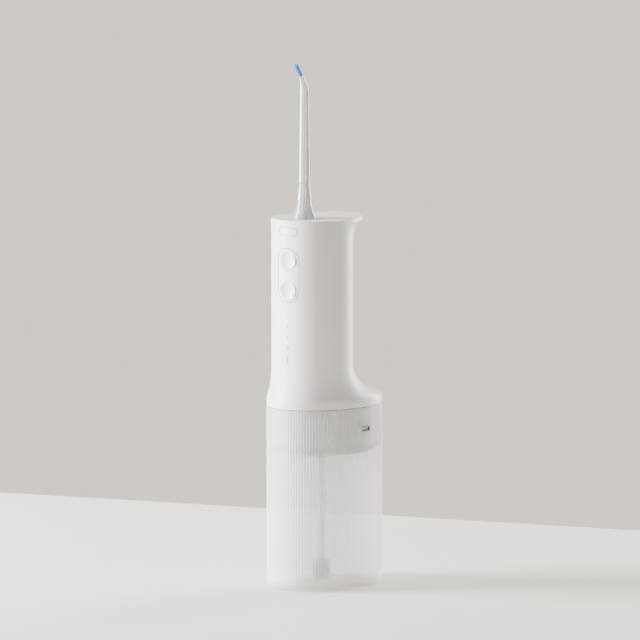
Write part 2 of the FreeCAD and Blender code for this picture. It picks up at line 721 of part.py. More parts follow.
def suction_strainer():
    """A weighted, slotted foot that keeps the tube's end near the tank's floor."""
    body = rod_z(STRAINER_RADIUS, 0, INTAKE_Y, STRAINER_FOOT_Z, STRAINER_TOP_Z)
    well = rod_z(STRAINER_RADIUS - STRAINER_WALL, 0, INTAKE_Y, STRAINER_FOOT_Z + STRAINER_WALL,
                 STRAINER_TOP_Z - STRAINER_CAP - STRAINER_WALL)
    socket = rod_z(SUCTION_OUTER, 0, INTAKE_Y, STRAINER_TOP_Z - TUBE_IN_STRAINER, STRAINER_TOP_Z)
    mouth = rod_z(SUCTION_INNER, 0, INTAKE_Y, STRAINER_FOOT_Z + STRAINER_WALL, STRAINER_TOP_Z)
    cuts = [well, socket, mouth]
    half = STRAINER_SLOT_WIDTH / 2
    slot_foot = STRAINER_FOOT_Z + STRAINER_SLOT_FOOT
    slot_top = STRAINER_TOP_Z - STRAINER_CAP - STRAINER_WALL
    for index in range(STRAINER_SLOTS):
        slot = box((0, 2 * STRAINER_RADIUS), (-half, half), (slot_foot, slot_top))
        slot.rotate(Vector(0, 0, 0), Z_AXIS, FULL_TURN / STRAINER_SLOTS * index)
        slot.translate(Vector(0, INTAKE_Y, 0))
        cuts.append(slot)
    return body.cut(cuts)


# ---- side catches ----
def spring_stop_x():
    """Inner face of the rib that the catch spring would push against."""
    inner_end = CATCH_FLANGE_X - CATCH_FLANGE_THICK - CATCH_SPRING_LENGTH
    return inner_end - CATCH_TRAVEL - FIT_GAP / 2 - SPRING_STOP_THICK


def side_catch(side):
    half_width = WINDOW_WIDTH / 2 - CATCH_GAP
    half_height = WINDOW_HEIGHT / 2 - CATCH_GAP
    tab_end = TANK_INNER_WIDTH + LEAD_IN_DEPTH - SLIDE_GAP
    tab = box(rod_range(side, CATCH_FLANGE_X, tab_end), (-half_width, half_width),
              (WINDOW_Z - half_height, WINDOW_Z + half_height))
    tab = tab.makeFillet(half_height / 2, edges_along(tab, X_AXIS))
    half_flange = CATCH_FLANGE_WIDTH / 2
    flange = box(rod_range(side, CATCH_FLANGE_X - CATCH_FLANGE_THICK, CATCH_FLANGE_X),
                 (-half_flange, half_flange),
                 (WINDOW_Z - CATCH_FLANGE_HEIGHT / 2, WINDOW_Z + CATCH_FLANGE_HEIGHT / 2))
    return tab.fuse(flange)


def catch_spring(side):
    start_x = CATCH_FLANGE_X - CATCH_FLANGE_THICK - CATCH_SPRING_WIRE
    run = CATCH_SPRING_LENGTH - 2 * CATCH_SPRING_WIRE
    start = Vector(side * start_x, 0, WINDOW_Z)
    inward = X_AXIS * -side
    return helix_spring(CATCH_SPRING_RADIUS, CATCH_SPRING_WIRE, run, CATCH_SPRING_TURNS, start, inward)


# ---- gears ----
def involute_angle(base, radius):
    """Angle that the tooth's flank has turned through at a radius."""
    pressure = math.acos(min(1.0, base / radius))
    return math.tan(pressure) - pressure


def gear_wire(teeth, z):
    pitch = PITCH_PER_TOOTH * teeth
    tip = pitch + ADDENDUM * GEAR_MODULE
    root = pitch - DEDENDUM * GEAR_MODULE
    base = pitch * math.cos(PRESSURE_ANGLE)
    foot = max(base, root)
    half_tooth = (math.pi * GEAR_MODULE - BACKLASH) / (4 * pitch)
    flank = []
    for step in range(FLANK_STEPS + 1):
        radius = foot + (tip - foot) * step / FLANK_STEPS
        angle = half_tooth + involute_angle(base, pitch) - involute_angle(base, radius)
        flank.append((radius, angle))
    flank.insert(0, (root, flank[0][1]))
    points = []
    for tooth in range(teeth):
        middle = 2 * math.pi * tooth / teeth
        points += [(radius, middle - angle) for radius, angle in flank]
        points += [(radius, middle + angle) for radius, angle in reversed(flank)]
    corners = [Vector(radius * math.cos(angle), radius * math.sin(angle), z) for radius, angle in points]
    return Part.makePolygon(corners + corners[:1])


def gear_blank(teeth, first_angle, y, z_start, z_end):
    """A spur gear; first_angle, in degrees, is where the middle of its first tooth stands."""
    gear = Part.Face(gear_wire(teeth, z_start)).extrude(Vector(0, 0, z_end - z_start))
    gear.rotate(Vector(0, 0, 0), Z_AXIS, first_angle)
    gear.translate(Vector(0, y, 0))
    return gear


def motor_pinion():
    top = PINION_FOOT_Z + PINION_LENGTH
    gear = gear_blank(PINION_TEETH, QUARTER_TURN, MOTOR_Y, PINION_FOOT_Z, top)
    return gear.cut(rod_z(MOTOR_SHAFT_RADIUS, 0, MOTOR_Y, PINION_FOOT_Z, top))


def crank_gear():
    half_pitch = FULL_TURN / CRANK_TEETH / 2
    gear = gear_blank(CRANK_TEETH, half_pitch - QUARTER_TURN, CRANK_Y, CRANK_FOOT_Z, CRANK_TOP_Z)
    gear = gear.cut(rod_z(AXLE_RADIUS + SHAFT_CLEARANCE, 0, CRANK_Y, CRANK_FOOT_Z, CRANK_TOP_Z))
    pin_y = CRANK_Y - CRANK_THROW
    return gear.fuse(rod_z(CRANK_PIN_RADIUS, 0, pin_y, ROD_TOP_Z + OPEN_PIVOT_GAP, CRANK_FOOT_Z))


def crank_axle():
    head_top = CRANK_FOOT_Z - SLIDE_GAP
    head = rod_z(AXLE_HEAD_RADIUS, 0, CRANK_Y, head_top - AXLE_HEAD_HEIGHT, head_top)
    return head.fuse(rod_z(AXLE_RADIUS, 0, CRANK_Y, head_top, DECK_TOP_Z))


# ---- pump ----
def pump_block():
    half = PUMP_HALF_WIDTH
    body = box((-half, half), (PUMP_FRONT_Y, BORE_MOUTH_Y), (PLUG_FLOOR_Z, PUMP_TOP_Z))
    foot = box((-half, half), (PUMP_FRONT_Y, INTAKE_Y + PUMP_FOOT_BACK),
               (PLUG_FLOOR_Z, PLUG_FLOOR_Z + PUMP_FOOT_HEIGHT))
    port_z = PLUG_FLOOR_Z + PORT_RISE
    cuts = [
        rod_y(BORE_RADIUS, 0, PUMP_AXIS_Z, BORE_END_Y, BORE_MOUTH_Y),
        rod_y(PORT_RADIUS, 0, PUMP_AXIS_Z, VALVE_Y, BORE_END_Y),
        rod_z(PORT_RADIUS, 0, INTAKE_Y, PLUG_FLOOR_Z, port_z),
        rod_y(PORT_RADIUS, 0, port_z, VALVE_Y, INTAKE_Y),
        rod_z(PORT_RADIUS, 0, VALVE_Y, PLUG_FLOOR_Z, PUMP_AXIS_Z),
        rod_z(VALVE_POCKET_RADIUS, 0, VALVE_Y, PLUG_FLOOR_Z, PLUG_FLOOR_Z + INLET_POCKET_HEIGHT),
        rod_x(PORT_RADIUS, VALVE_Y, PUMP_AXIS_Z, 0, half),
        rod_x(VALVE_POCKET_RADIUS, VALVE_Y, PUMP_AXIS_Z, half - OUTLET_POCKET_DEPTH, half),
        intake_seal_groove(),
    ]
    return body.fuse(foot).cut(cuts)


def intake_seal_groove():
    outer = INTAKE_SEAL_RADIUS + INTAKE_SEAL_WIRE
    inner = INTAKE_SEAL_RADIUS - INTAKE_SEAL_WIRE
    return pipe_z(outer, inner, 0, INTAKE_Y, PLUG_FLOOR_Z, PLUG_FLOOR_Z + 2 * INTAKE_SEAL_WIRE)


def intake_seal():
    centre = Vector(0, INTAKE_Y, PLUG_FLOOR_Z + INTAKE_SEAL_WIRE)
    return Part.makeTorus(INTAKE_SEAL_RADIUS, INTAKE_SEAL_WIRE, centre, Z_AXIS)


def duckbill(start, direction):
    """A rubber valve: a round flange and a hollow bill with a slit at its end."""
    flange = Part.makeCylinder(VALVE_RADIUS, VALVE_FLANGE)
    bill_length = VALVE_LENGTH - VALVE_FLANGE
    bill_foot = Vector(0, 0, VALVE_FLANGE)
    bill = Part.makeCone(VALVE_RADIUS - VALVE_SHELL, VALVE_TIP_RADIUS, bill_length, bill_foot)
    hollow = Part.makeCone(VALVE_RADIUS - 2 * VALVE_SHELL, VALVE_TIP_RADIUS - VALVE_SHELL,
                           VALVE_LENGTH - VALVE_SHELL)
    slit = box((-VALVE_TIP_RADIUS, VALVE_TIP_RADIUS), (-VALVE_SLIT / 2, VALVE_SLIT / 2), (0, VALVE_LENGTH))
    valve = flange.fuse(bill).cut([hollow, slit])
    valve.Placement = FreeCAD.Placement(start, FreeCAD.Rotation(Z_AXIS, direction))
    return valve


def inlet_valve():
    top = PLUG_FLOOR_Z + INLET_POCKET_HEIGHT
    return duckbill(Vector(0, VALVE_Y, top - VALVE_LENGTH - SLIDE_GAP), Z_AXIS)


def outlet_valve():
    return duckbill(Vector(PUMP_HALF_WIDTH - OUTLET_POCKET_DEPTH, VALVE_Y, PUMP_AXIS_Z), X_AXIS)


def piston():
    start = WRIST_Y - PISTON_NOSE
    end = WRIST_Y + PISTON_SKIRT
    body = rod_y(PISTON_RADIUS, 0, PUMP_AXIS_Z, start, end)
    half_slot = ROD_THICKNESS / 2 + SLIDE_GAP
    slot = box((-PISTON_SLOT_HALF, PISTON_SLOT_HALF), (WRIST_Y - PISTON_SLOT_FRONT, end),
               (PUMP_AXIS_Z - half_slot, PUMP_AXIS_Z + half_slot))
    seal_start = start + PISTON_SEAL_SETBACK
    groove = rod_y(BORE_RADIUS, 0, PUMP_AXIS_Z, seal_start, seal_start + PISTON_SEAL_WIDTH)
    core = rod_y(PISTON_SEAL_INNER, 0, PUMP_AXIS_Z, seal_start, seal_start + PISTON_SEAL_WIDTH)
    groove = groove.cut(core)
    return body.cut([slot, groove, wrist_pin()])


def piston_seal():
    start = WRIST_Y - PISTON_NOSE + PISTON_SEAL_SETBACK
    ring = rod_y(PISTON_SEAL_OUTER, 0, PUMP_AXIS_Z, start, start + PISTON_SEAL_WIDTH)
    return ring.cut(rod_y(PISTON_SEAL_INNER, 0, PUMP_AXIS_Z, start, start + PISTON_SEAL_WIDTH))


def wrist_pin():
    return rod_z(WRIST_PIN_RADIUS, 0, WRIST_Y, PUMP_AXIS_Z - WRIST_PIN_HALF, PUMP_AXIS_Z + WRIST_PIN_HALF)


def connecting_rod():
    eye_y = WRIST_Y + ROD_LENGTH
    big = rod_z(ROD_BIG_EYE, 0, eye_y, ROD_FOOT_Z, ROD_TOP_Z)
    small = rod_z(ROD_SMALL_EYE, 0, WRIST_Y, ROD_FOOT_Z, ROD_TOP_Z)
    bar = box((-ROD_HALF_WIDTH, ROD_HALF_WIDTH), (WRIST_Y, eye_y), (ROD_FOOT_Z, ROD_TOP_Z))
    holes = [
        rod_z(CRANK_PIN_RADIUS + SHAFT_CLEARANCE, 0, eye_y, ROD_FOOT_Z, ROD_TOP_Z),
        rod_z(WRIST_PIN_RADIUS + SHAFT_CLEARANCE, 0, WRIST_Y, ROD_FOOT_Z, ROD_TOP_Z),
    ]
    return big.fuse([small, bar]).cut(holes)


# ---- delivery line ----
def outlet_elbow():
    half = ELBOW_FLANGE_HALF
    face_x = PUMP_HALF_WIDTH + ELBOW_FLANGE
    flange = box((PUMP_HALF_WIDTH, face_x), (VALVE_Y - half, VALVE_Y + half),
                 (PUMP_AXIS_Z - half, PUMP_AXIS_Z + half))
    end_x = face_x + HOSE_NIPPLE
    nipple = rod_x(NIPPLE_RADIUS, VALVE_Y, PUMP_AXIS_Z, face_x, end_x)
    return flange.fuse(nipple).cut(rod_x(DUCT_RADIUS, VALVE_Y, PUMP_AXIS_Z, PUMP_HALF_WIDTH, end_x))


def quarter_bend(radius, centre_z, side):
    """A quarter ring that joins a run along X to the upright run.

    Its centre stands above the lower run (side 1) or below the upper one (side -1).
    """
    centre_x = HOSE_X - HOSE_BEND
    ring = Part.makeTorus(HOSE_BEND, radius, Vector(centre_x, VALVE_Y, centre_z), Y_AXIS)
    reach = 2 * HOSE_BEND
    z_range = tuple(sorted((centre_z, centre_z - side * reach)))
    return ring.common(box((centre_x, centre_x + reach), (VALVE_Y - reach, VALVE_Y + reach), z_range))


def hose_runs(radius):
    start_x = PUMP_HALF_WIDTH + ELBOW_FLANGE
    bend_x = HOSE_X - HOSE_BEND
    low_z = PUMP_AXIS_Z + HOSE_BEND
    high_z = SEAT_PORT_Z - HOSE_BEND
    return [
        rod_x(radius, VALVE_Y, PUMP_AXIS_Z, start_x, bend_x),
        quarter_bend(radius, low_z, 1),
        rod_z(radius, HOSE_X, VALVE_Y, low_z, high_z),
        quarter_bend(radius, high_z, -1),
        rod_x(radius, VALVE_Y, SEAT_PORT_Z, start_x, bend_x),
    ]


def hose_solid(radius):
    runs = hose_runs(radius)
    return runs[0].fuse(runs[1:])


def delivery_hose():
    tubes = [outer.cut(inner) for outer, inner in zip(hose_runs(HOSE_OUTER), hose_runs(HOSE_INNER))]
    return tubes[0].fuse(tubes[1:])


# ---- motor ----
def motor_can():
    can = rod_z(MOTOR_RADIUS, 0, MOTOR_Y, DECK_TOP_Z, MOTOR_TOP_Z)
    boss = rod_z(MOTOR_BOSS_RADIUS, 0, MOTOR_Y, DECK_TOP_Z - MOTOR_BOSS_HEIGHT, DECK_TOP_Z)
    hollow = rod_z(MOTOR_RADIUS - MOTOR_CAN_WALL, 0, MOTOR_Y, DECK_TOP_Z + MOTOR_FACE, MOTOR_TOP_Z)
    shaft_hole = rod_z(MOTOR_SHAFT_RADIUS + SHAFT_CLEARANCE, 0, MOTOR_Y, DECK_FOOT_Z, MOTOR_TOP_Z)
    return can.fuse(boss).cut([hollow, shaft_hole] + motor_screws())


def motor_magnets():
    outer = MOTOR_RADIUS - MOTOR_CAN_WALL
    foot = DECK_TOP_Z + MAGNET_START
    ring = pipe_z(outer, outer - MAGNET_THICKNESS, 0, MOTOR_Y, foot, foot + MAGNET_HEIGHT)
    half = MAGNET_GAP / 2
    gap = box((-half, half), (MOTOR_Y - MOTOR_RADIUS, MOTOR_Y + MOTOR_RADIUS), (foot, foot + MAGNET_HEIGHT))
    return ring.cut(gap).Solids


def motor_armature():
    foot = DECK_TOP_Z + MAGNET_START + ARMATURE_INSET
    top = foot + MAGNET_HEIGHT - 2 * ARMATURE_INSET
    core = rod_z(ARMATURE_RADIUS, 0, MOTOR_Y, foot, top)
    core = core.fuse(rod_z(COMMUTATOR_RADIUS, 0, MOTOR_Y, top, top + COMMUTATOR_HEIGHT))
    cuts = [rod_z(MOTOR_SHAFT_RADIUS, 0, MOTOR_Y, foot, top + COMMUTATOR_HEIGHT)]
    half = ARMATURE_SLOT / 2
    for index in range(ARMATURE_POLES):
        slot = box((ARMATURE_RADIUS - ARMATURE_SLOT_DEPTH, 2 * ARMATURE_RADIUS), (-half, half), (foot, top))
        slot.rotate(Vector(0, 0, 0), Z_AXIS, FULL_TURN / ARMATURE_POLES * index)
        slot.translate(Vector(0, MOTOR_Y, 0))
        cuts.append(slot)
    return core.cut(cuts)


def motor_shaft():
    return rod_z(MOTOR_SHAFT_RADIUS, 0, MOTOR_Y, PINION_FOOT_Z, MOTOR_TOP_Z - SLIDE_GAP)


def motor_end_cap():
    foot = MOTOR_TOP_Z - MOTOR_END_CAP
    cap = rod_z(MOTOR_RADIUS - MOTOR_CAN_WALL, 0, MOTOR_Y, foot, MOTOR_TOP_Z)
    cap = cap.cut(rod_z(MOTOR_SHAFT_RADIUS + SHAFT_CLEARANCE, 0, MOTOR_Y, foot, MOTOR_TOP_Z))
    half = TERMINAL_WIDTH / 2
    for side in SIDES:
        middle = side * TERMINAL_X
        blade = box((middle - TERMINAL_THICK / 2, middle + TERMINAL_THICK / 2),
                    (MOTOR_Y - half, MOTOR_Y + half), (MOTOR_TOP_Z, MOTOR_TOP_Z + TERMINAL_HEIGHT))
        cap = cap.fuse(blade)
    return cap


def motor_screws():
    return [screw(side * MOTOR_SCREW_X, MOTOR_Y, DECK_FOOT_Z, MOTOR_SCREW_LENGTH, Z_AXIS) for side in SIDES]


# ---- chassis ----
def chassis():
    half_width, half_depth, y = foot_outline(flare_share(DECK_TOP_Z + WALL), WALL + DECK_CLEARANCE)
    deck = oval_prism(half_width, half_depth, half_depth, y, DECK_FOOT_Z, DECK_TOP_Z)
    shelf_radius = CAVITY_RADIUS - SHELF_CLEARANCE
    front = box((-HANDLE_RADIUS, HANDLE_RADIUS), (BOARD_BACK_Y - HANDLE_RADIUS, BOARD_BACK_Y),
                (LOWER_SHELF_Z, BODY_TOP_Z))
    shelves = []
    for z in (LOWER_SHELF_Z, UPPER_SHELF_Z):
        shelf = rod_z(shelf_radius, 0, HANDLE_Y, z, z + SHELF_THICKNESS)
        shelves.append(shelf.cut(front))
    rails = [
        box(rod_range(side, RAIL_X, RAIL_X + RAIL_THICK), (RAIL_FRONT_Y, RAIL_BACK_Y),
            (DECK_TOP_Z, UPPER_SHELF_Z))
        for side in SIDES
    ]
    legs = [rod_z(POST_RADIUS, x, y_post, POST_TOP_Z, DECK_FOOT_Z) for x, y_post in POSTS]
    lug = box((-BOARD_LUG_HALF, BOARD_LUG_HALF), (BOARD_BACK_Y, BOARD_BACK_Y + BOARD_LUG_DEPTH),
              (LOWER_SHELF_Z + SHELF_THICKNESS - BOARD_LUG_HEIGHT, LOWER_SHELF_Z + SHELF_THICKNESS))
    tab_y = spring_tab_y()
    tab_top = SLIDER_FOOT_Z + SLIDER_THICK / 2 + SPRING_TAB_OVER
    tab = box((-SPRING_TAB_HALF, SPRING_TAB_HALF), (tab_y, tab_y + SPRING_TAB_THICK),
              (UPPER_SHELF_Z + SHELF_THICKNESS, tab_top))
    body = deck.fuse(shelves + rails + legs + [lug, tab])
    cuts = [
        rod_z(MOTOR_BOSS_RADIUS + SHAFT_CLEARANCE, 0, MOTOR_Y, DECK_FOOT_Z, DECK_TOP_Z),
        rod_z(AXLE_RADIUS, 0, CRANK_Y, DECK_FOOT_Z, DECK_TOP_Z),
        rod_z(SEAT_RADIUS, 0, NOZZLE_Y, UPPER_SHELF_Z, UPPER_SHELF_Z + SHELF_THICKNESS),
        hose_solid(HOSE_OUTER + FIT_GAP),
    ]
    cuts += base_screws() + shell_screws() + motor_screws() + board_screws()
    return body.cut(cuts)


def spring_tab_y():
    return SLIDER_BACK_Y + RELEASE_SPRING_LENGTH + RELEASE_TRAVEL + SLIDE_GAP


def shell_screws():
    return [
        screw(side * SHELL_BOSS_X, SHELL_BOSS_Y, DECK_FOOT_Z, SHELL_SCREW_LENGTH, Z_AXIS) for side in SIDES
    ]


def board_screws():
    middle_z = LOWER_SHELF_Z + SHELF_THICKNESS - BOARD_LUG_HEIGHT / 2
    places = [side * BOARD_SCREW_X for side in SIDES]
    return [screw(x, BOARD_FRONT_Y, middle_z, BOARD_SCREW_LENGTH, Y_AXIS) for x in places]


# ---- battery ----
def battery_cell():
    return rod_z(CELL_RADIUS, 0, CELL_Y, CELL_FOOT_Z, CELL_TOP_Z)


def battery_tabs():
    half = CELL_TAB_WIDTH / 2
    reach = (CELL_Y - CELL_TAB_REACH, CELL_Y + CELL_TAB_REACH)
    levels = (CELL_FOOT_Z - CELL_TAB, CELL_TOP_Z)
    return [box((-half, half), reach, (z, z + CELL_TAB)) for z in levels]


# ---- main board ----
def main_board():
    half = BOARD_HALF_WIDTH
    board = box((-half, half), (BOARD_FRONT_Y, BOARD_BACK_Y), (BOARD_FOOT_Z, BOARD_TOP_Z))
    return board.cut(board_screws())


def board_chips():
    """Controller and charger chips on the back of the board, between the two shelves."""
    chips = []
    half = CHIP_SIDE / 2
    for index in range(CHIP_COUNT):
        foot = LOWER_SHELF_Z + SHELF_THICKNESS + CHIP_GAP + index * (CHIP_SIDE + CHIP_GAP)
        depth = (BOARD_BACK_Y, BOARD_BACK_Y + CHIP_HEIGHT)
        chips.append(box((-half, half), depth, (foot, foot + CHIP_SIDE)))
    return chips


def tact_switches():
    switches = []
    half = SWITCH_SIDE / 2
    for z in BUTTON_HEIGHTS:
        case = box((-half, half), (BOARD_FRONT_Y - SWITCH_HEIGHT, BOARD_FRONT_Y), (z - half, z + half))
        plunger = rod_y(PLUNGER_RADIUS, 0, z, PLUNGER_END_Y, BOARD_FRONT_Y - SWITCH_HEIGHT)
        switches.append(case.fuse(plunger))
    return switches


def indicator_leds():
    half = LED_WIDTH / 2
    heights = LIGHT_HEIGHTS + [LIGHT_BAR_Z]
    depth = (BOARD_FRONT_Y - LED_HEIGHT, BOARD_FRONT_Y)
    return [box((-half, half), depth, (z - half, z + half)) for z in heights]


def light_pins(clearance):
    """The four lit marks: two dots, a wider dot and an upright bar."""
    start = HANDLE_FRONT_Y - WALL
    end = HANDLE_Y - CAVITY_RADIUS + LIGHT_GUIDE_THICK
    radii = [LIGHT_DOT_RADIUS] * (LIGHT_DOT_COUNT - 1) + [LIGHT_WIDE_RADIUS]
    pins = [rod_y(radius + clearance, 0, z, start, end) for radius, z in zip(radii, LIGHT_HEIGHTS)]
    half_width = LIGHT_BAR_HALF_WIDTH + clearance
    half_height = LIGHT_BAR_HALF_HEIGHT + clearance
    pins.append(pill_y(half_width, half_height, LIGHT_BAR_Z, start, end))
    return pins


def light_guide():
    back_y = HANDLE_Y - CAVITY_RADIUS + LIGHT_GUIDE_THICK + FIT_GAP
    low = LIGHT_BAR_Z - LIGHT_BAR_HALF_HEIGHT - LIGHT_GUIDE_END
    high = LIGHT_HEIGHTS[0] + LIGHT_GUIDE_END
    bar = box((-LIGHT_GUIDE_HALF, LIGHT_GUIDE_HALF), (back_y - LIGHT_GUIDE_THICK, back_y), (low, high))
    pins = [pin.common(rod_z(HANDLE_RADIUS - LIGHT_SUNK, 0, HANDLE_Y, low, high)) for pin in light_pins(0)]
    return bar.fuse(pins)


# ---- button panel and buttons ----
def panel_pill(inset):
    start = HANDLE_FRONT_Y - WALL
    return pill_y(PANEL_HALF_WIDTH - inset, PANEL_HALF_HEIGHT - inset, PANEL_Z, start, BOARD_FRONT_Y)


def button_panel():
    skin = handle_ring(HANDLE_RADIUS - PANEL_DEPTH, HANDLE_RADIUS - PANEL_SUNK, BOARD_FOOT_Z, BODY_TOP_Z)
    plate = panel_pill(0).common(skin)
    start = HANDLE_FRONT_Y - WALL
    holes = [rod_y(BUTTON_RADIUS + BUTTON_GAP, 0, z, start, BOARD_FRONT_Y) for z in BUTTON_HEIGHTS]
    return plate.cut(holes)


def panel_seal():
    """A rubber ring inside the wall, round the opening behind the panel."""
    skin = handle_ring(CAVITY_RADIUS - PANEL_SEAL_THICK, CAVITY_RADIUS, BOARD_FOOT_Z, BODY_TOP_Z)
    ring = panel_pill(PANEL_LEDGE - PANEL_SEAL_WIDTH).cut(panel_pill(PANEL_LEDGE))
    return ring.common(skin)


def push_button(z):
    front_y = HANDLE_FRONT_Y + BUTTON_SUNK
    panel_inner = HANDLE_RADIUS - PANEL_DEPTH
    flange_y = HANDLE_Y - math.sqrt(panel_inner ** 2 - BUTTON_FLANGE_RADIUS ** 2) + SHAFT_CLEARANCE
    stem_end = PLUNGER_END_Y - BUTTON_TRAVEL - BUTTON_STOP_GAP
    body = rod_y(BUTTON_RADIUS, 0, z, front_y, flange_y)
    body = body.fuse([
        rod_y(BUTTON_FLANGE_RADIUS, 0, z, flange_y, flange_y + BUTTON_FLANGE_THICK),
        rod_y(BUTTON_STEM_RADIUS, 0, z, flange_y, stem_end),
    ])
    dish_centre = Vector(0, front_y + BUTTON_DISH_DEPTH - BUTTON_DISH_RADIUS, z)
    return body.cut(Part.makeSphere(BUTTON_DISH_RADIUS, dish_centre))


# ---- nozzle release ----
def release_button():
    start = HANDLE_FRONT_Y - WALL
    pill = pill_y(RELEASE_HALF_WIDTH, RELEASE_HALF_HEIGHT, RELEASE_Z, start, RELEASE_FLANGE_Y)
    pill = pill.common(rod_z(HANDLE_RADIUS - RELEASE_SUNK, 0, HANDLE_Y, BEAK_FOOT_Z, BODY_TOP_Z))
    half_width = RELEASE_HALF_WIDTH + RELEASE_FLANGE_MARGIN
    half_height = RELEASE_HALF_HEIGHT + RELEASE_FLANGE_MARGIN / 2
    flange = box((-half_width, half_width), (RELEASE_FLANGE_Y, RELEASE_FLANGE_Y + RELEASE_FLANGE_THICK),
                 (RELEASE_Z - half_height, RELEASE_Z + half_height))
    return pill.fuse(flange)


def release_slider():
    """The plate behind the release button; it runs round the nozzle's stem to the return spring."""
    top = SLIDER_FOOT_Z + SLIDER_THICK
    start = RELEASE_FLANGE_Y + RELEASE_FLANGE_THICK
    plate = box((-SLIDER_HALF_WIDTH, SLIDER_HALF_WIDTH), (start, SLIDER_BACK_Y), (SLIDER_FOOT_Z, top))
    radius = STEM_RADIUS + SLIDER_HOLE_CLEARANCE
    slot = rod_z(radius, 0, NOZZLE_Y, SLIDER_FOOT_Z, top)
    slot = slot.fuse([
        rod_z(radius, 0, NOZZLE_Y - RELEASE_TRAVEL, SLIDER_FOOT_Z, top),
        box((-radius, radius), (NOZZLE_Y - RELEASE_TRAVEL, NOZZLE_Y), (SLIDER_FOOT_Z, top)),
    ])
    return plate.cut(slot)


def release_spring():
    start = Vector(0, SLIDER_BACK_Y + RELEASE_SPRING_WIRE, SLIDER_FOOT_Z + SLIDER_THICK / 2)
    run = RELEASE_SPRING_LENGTH - 2 * RELEASE_SPRING_WIRE
    turns = RELEASE_SPRING_TURNS
    return helix_spring(RELEASE_SPRING_RADIUS, RELEASE_SPRING_WIRE, run, turns, start, Y_AXIS)


# ---- nozzle ----
def nozzle_seat():
    """The nozzle's socket; its nipple stands in line with the hose."""
    end_x = PUMP_HALF_WIDTH + ELBOW_FLANGE + HOSE_NIPPLE
    body = rod_z(SEAT_RADIUS, 0, NOZZLE_Y, SEAT_FOOT_Z, SEAT_TOP_Z)
    body = body.fuse(rod_x(NIPPLE_RADIUS, VALVE_Y, SEAT_PORT_Z, 0, end_x))
    front_y, back_y = sorted((VALVE_Y, NOZZLE_Y))
    cuts = [
        rod_z(SEAT_BORE, 0, NOZZLE_Y, SEAT_FOOT_Z + SEAT_FLOOR, SEAT_TOP_Z),
        rod_z(SEAT_PORT_RADIUS, 0, NOZZLE_Y, SEAT_PORT_Z, SEAT_TOP_Z),
        rod_x(SEAT_PORT_RADIUS, VALVE_Y, SEAT_PORT_Z, 0, end_x),
        rod_y(SEAT_CROSS_RADIUS, 0, SEAT_PORT_Z, front_y - SEAT_CROSS_RADIUS, back_y + SEAT_CROSS_RADIUS),
    ]
    return body.cut(cuts)


def ring_groove(radius, wire, outer, z):
    half = wire + RING_GROOVE_GAP
    return pipe_z(outer, radius - half, 0, NOZZLE_Y, z - half, z + half)


def nozzle_collar():
    top = COLLAR_FOOT_Z + COLLAR_LENGTH
    body = pipe_z(COLLAR_RADIUS, COLLAR_BORE, 0, NOZZLE_Y, COLLAR_FOOT_Z, top)
    ring_z = COLLAR_FOOT_Z + COLLAR_RING_RISE
    return body.cut(ring_groove(COLLAR_RING_RADIUS, COLLAR_RING_WIRE, COLLAR_RADIUS, ring_z))


def collar_o_ring():
    centre = Vector(0, NOZZLE_Y, COLLAR_FOOT_Z + COLLAR_RING_RISE)
    return Part.makeTorus(COLLAR_RING_RADIUS, COLLAR_RING_WIRE, centre, Z_AXIS)


def stem_o_ring():
    centre = Vector(0, NOZZLE_Y, STEM_FOOT_Z + STEM_RING_RISE)
    return Part.makeTorus(STEM_RING_RADIUS, STEM_RING_WIRE, centre, Z_AXIS)


def revolve_z(points, y):
    """Turn an outline of (radius, height) points round an upright axis."""
    outline = Part.makePolygon([Vector(radius, y, z) for radius, z in points + points[:1]])
    return Part.Face(outline).revolve(Vector(0, y, 0), Z_AXIS, FULL_TURN)


def bell_outline(inset):
    """The trumpet's side as (radius, height) points, from its foot up to its waist."""
    lip_z = BELL_FOOT_Z + BELL_LIP_HEIGHT
    waist_z = BELL_FOOT_Z + BELL_WAIST_HEIGHT
    hollow_radius = BELL_WAIST_RADIUS + (BELL_LIP_RADIUS - BELL_WAIST_RADIUS) * BELL_HOLLOW
    hollow_z = lip_z + (waist_z - lip_z) * BELL_HOLLOW
    curve = Part.BSplineCurve()
    curve.interpolate([
        Vector(BELL_LIP_RADIUS, 0, lip_z),
        Vector((BELL_LIP_RADIUS + hollow_radius) / 2, 0, lip_z + (hollow_z - lip_z) * BELL_HOLLOW),
        Vector(hollow_radius, 0, hollow_z),
        Vector(BELL_WAIST_RADIUS, 0, waist_z),
    ])
    start = curve.FirstParameter
    length = curve.LastParameter - start
    foot_radius = BELL_FOOT_RADIUS - inset
    points = [(foot_radius, BELL_FOOT_Z), (foot_radius, BELL_FOOT_Z + BELL_RIM_HEIGHT)]
    for step in range(BELL_STEPS + 1):
        place = curve.value(start + length * step / BELL_STEPS)
        points.append((place.x - inset, place.z))
    points.append((BELL_TOP_RADIUS - inset, BELL_FOOT_Z + BELL_TOP_HEIGHT))
    return points


def tube_section(radius, angle):
    """A circle across the bent end of the tube, angle round the bend from where it starts."""
    centre = bend_point(angle)
    along = Vector(0, -math.sin(angle), math.cos(angle))
    return Part.Wire([Part.makeCircle(radius, centre, along)])


def bend_point(angle):
    y = NOZZLE_Y - BEND_CENTRE_RADIUS * (1 - math.cos(angle))
    return Vector(0, y, BELL_FOOT_Z + TUBE_BEND_HEIGHT + BEND_CENTRE_RADIUS * math.sin(angle))


def tube_bend(start_radius, end_radius):
    sections = []
    for step in range(BEND_STEPS + 1):
        share = step / BEND_STEPS
        sections.append(tube_section(start_radius + (end_radius - start_radius) * share, BEND_ANGLE * share))
    return loft(sections)


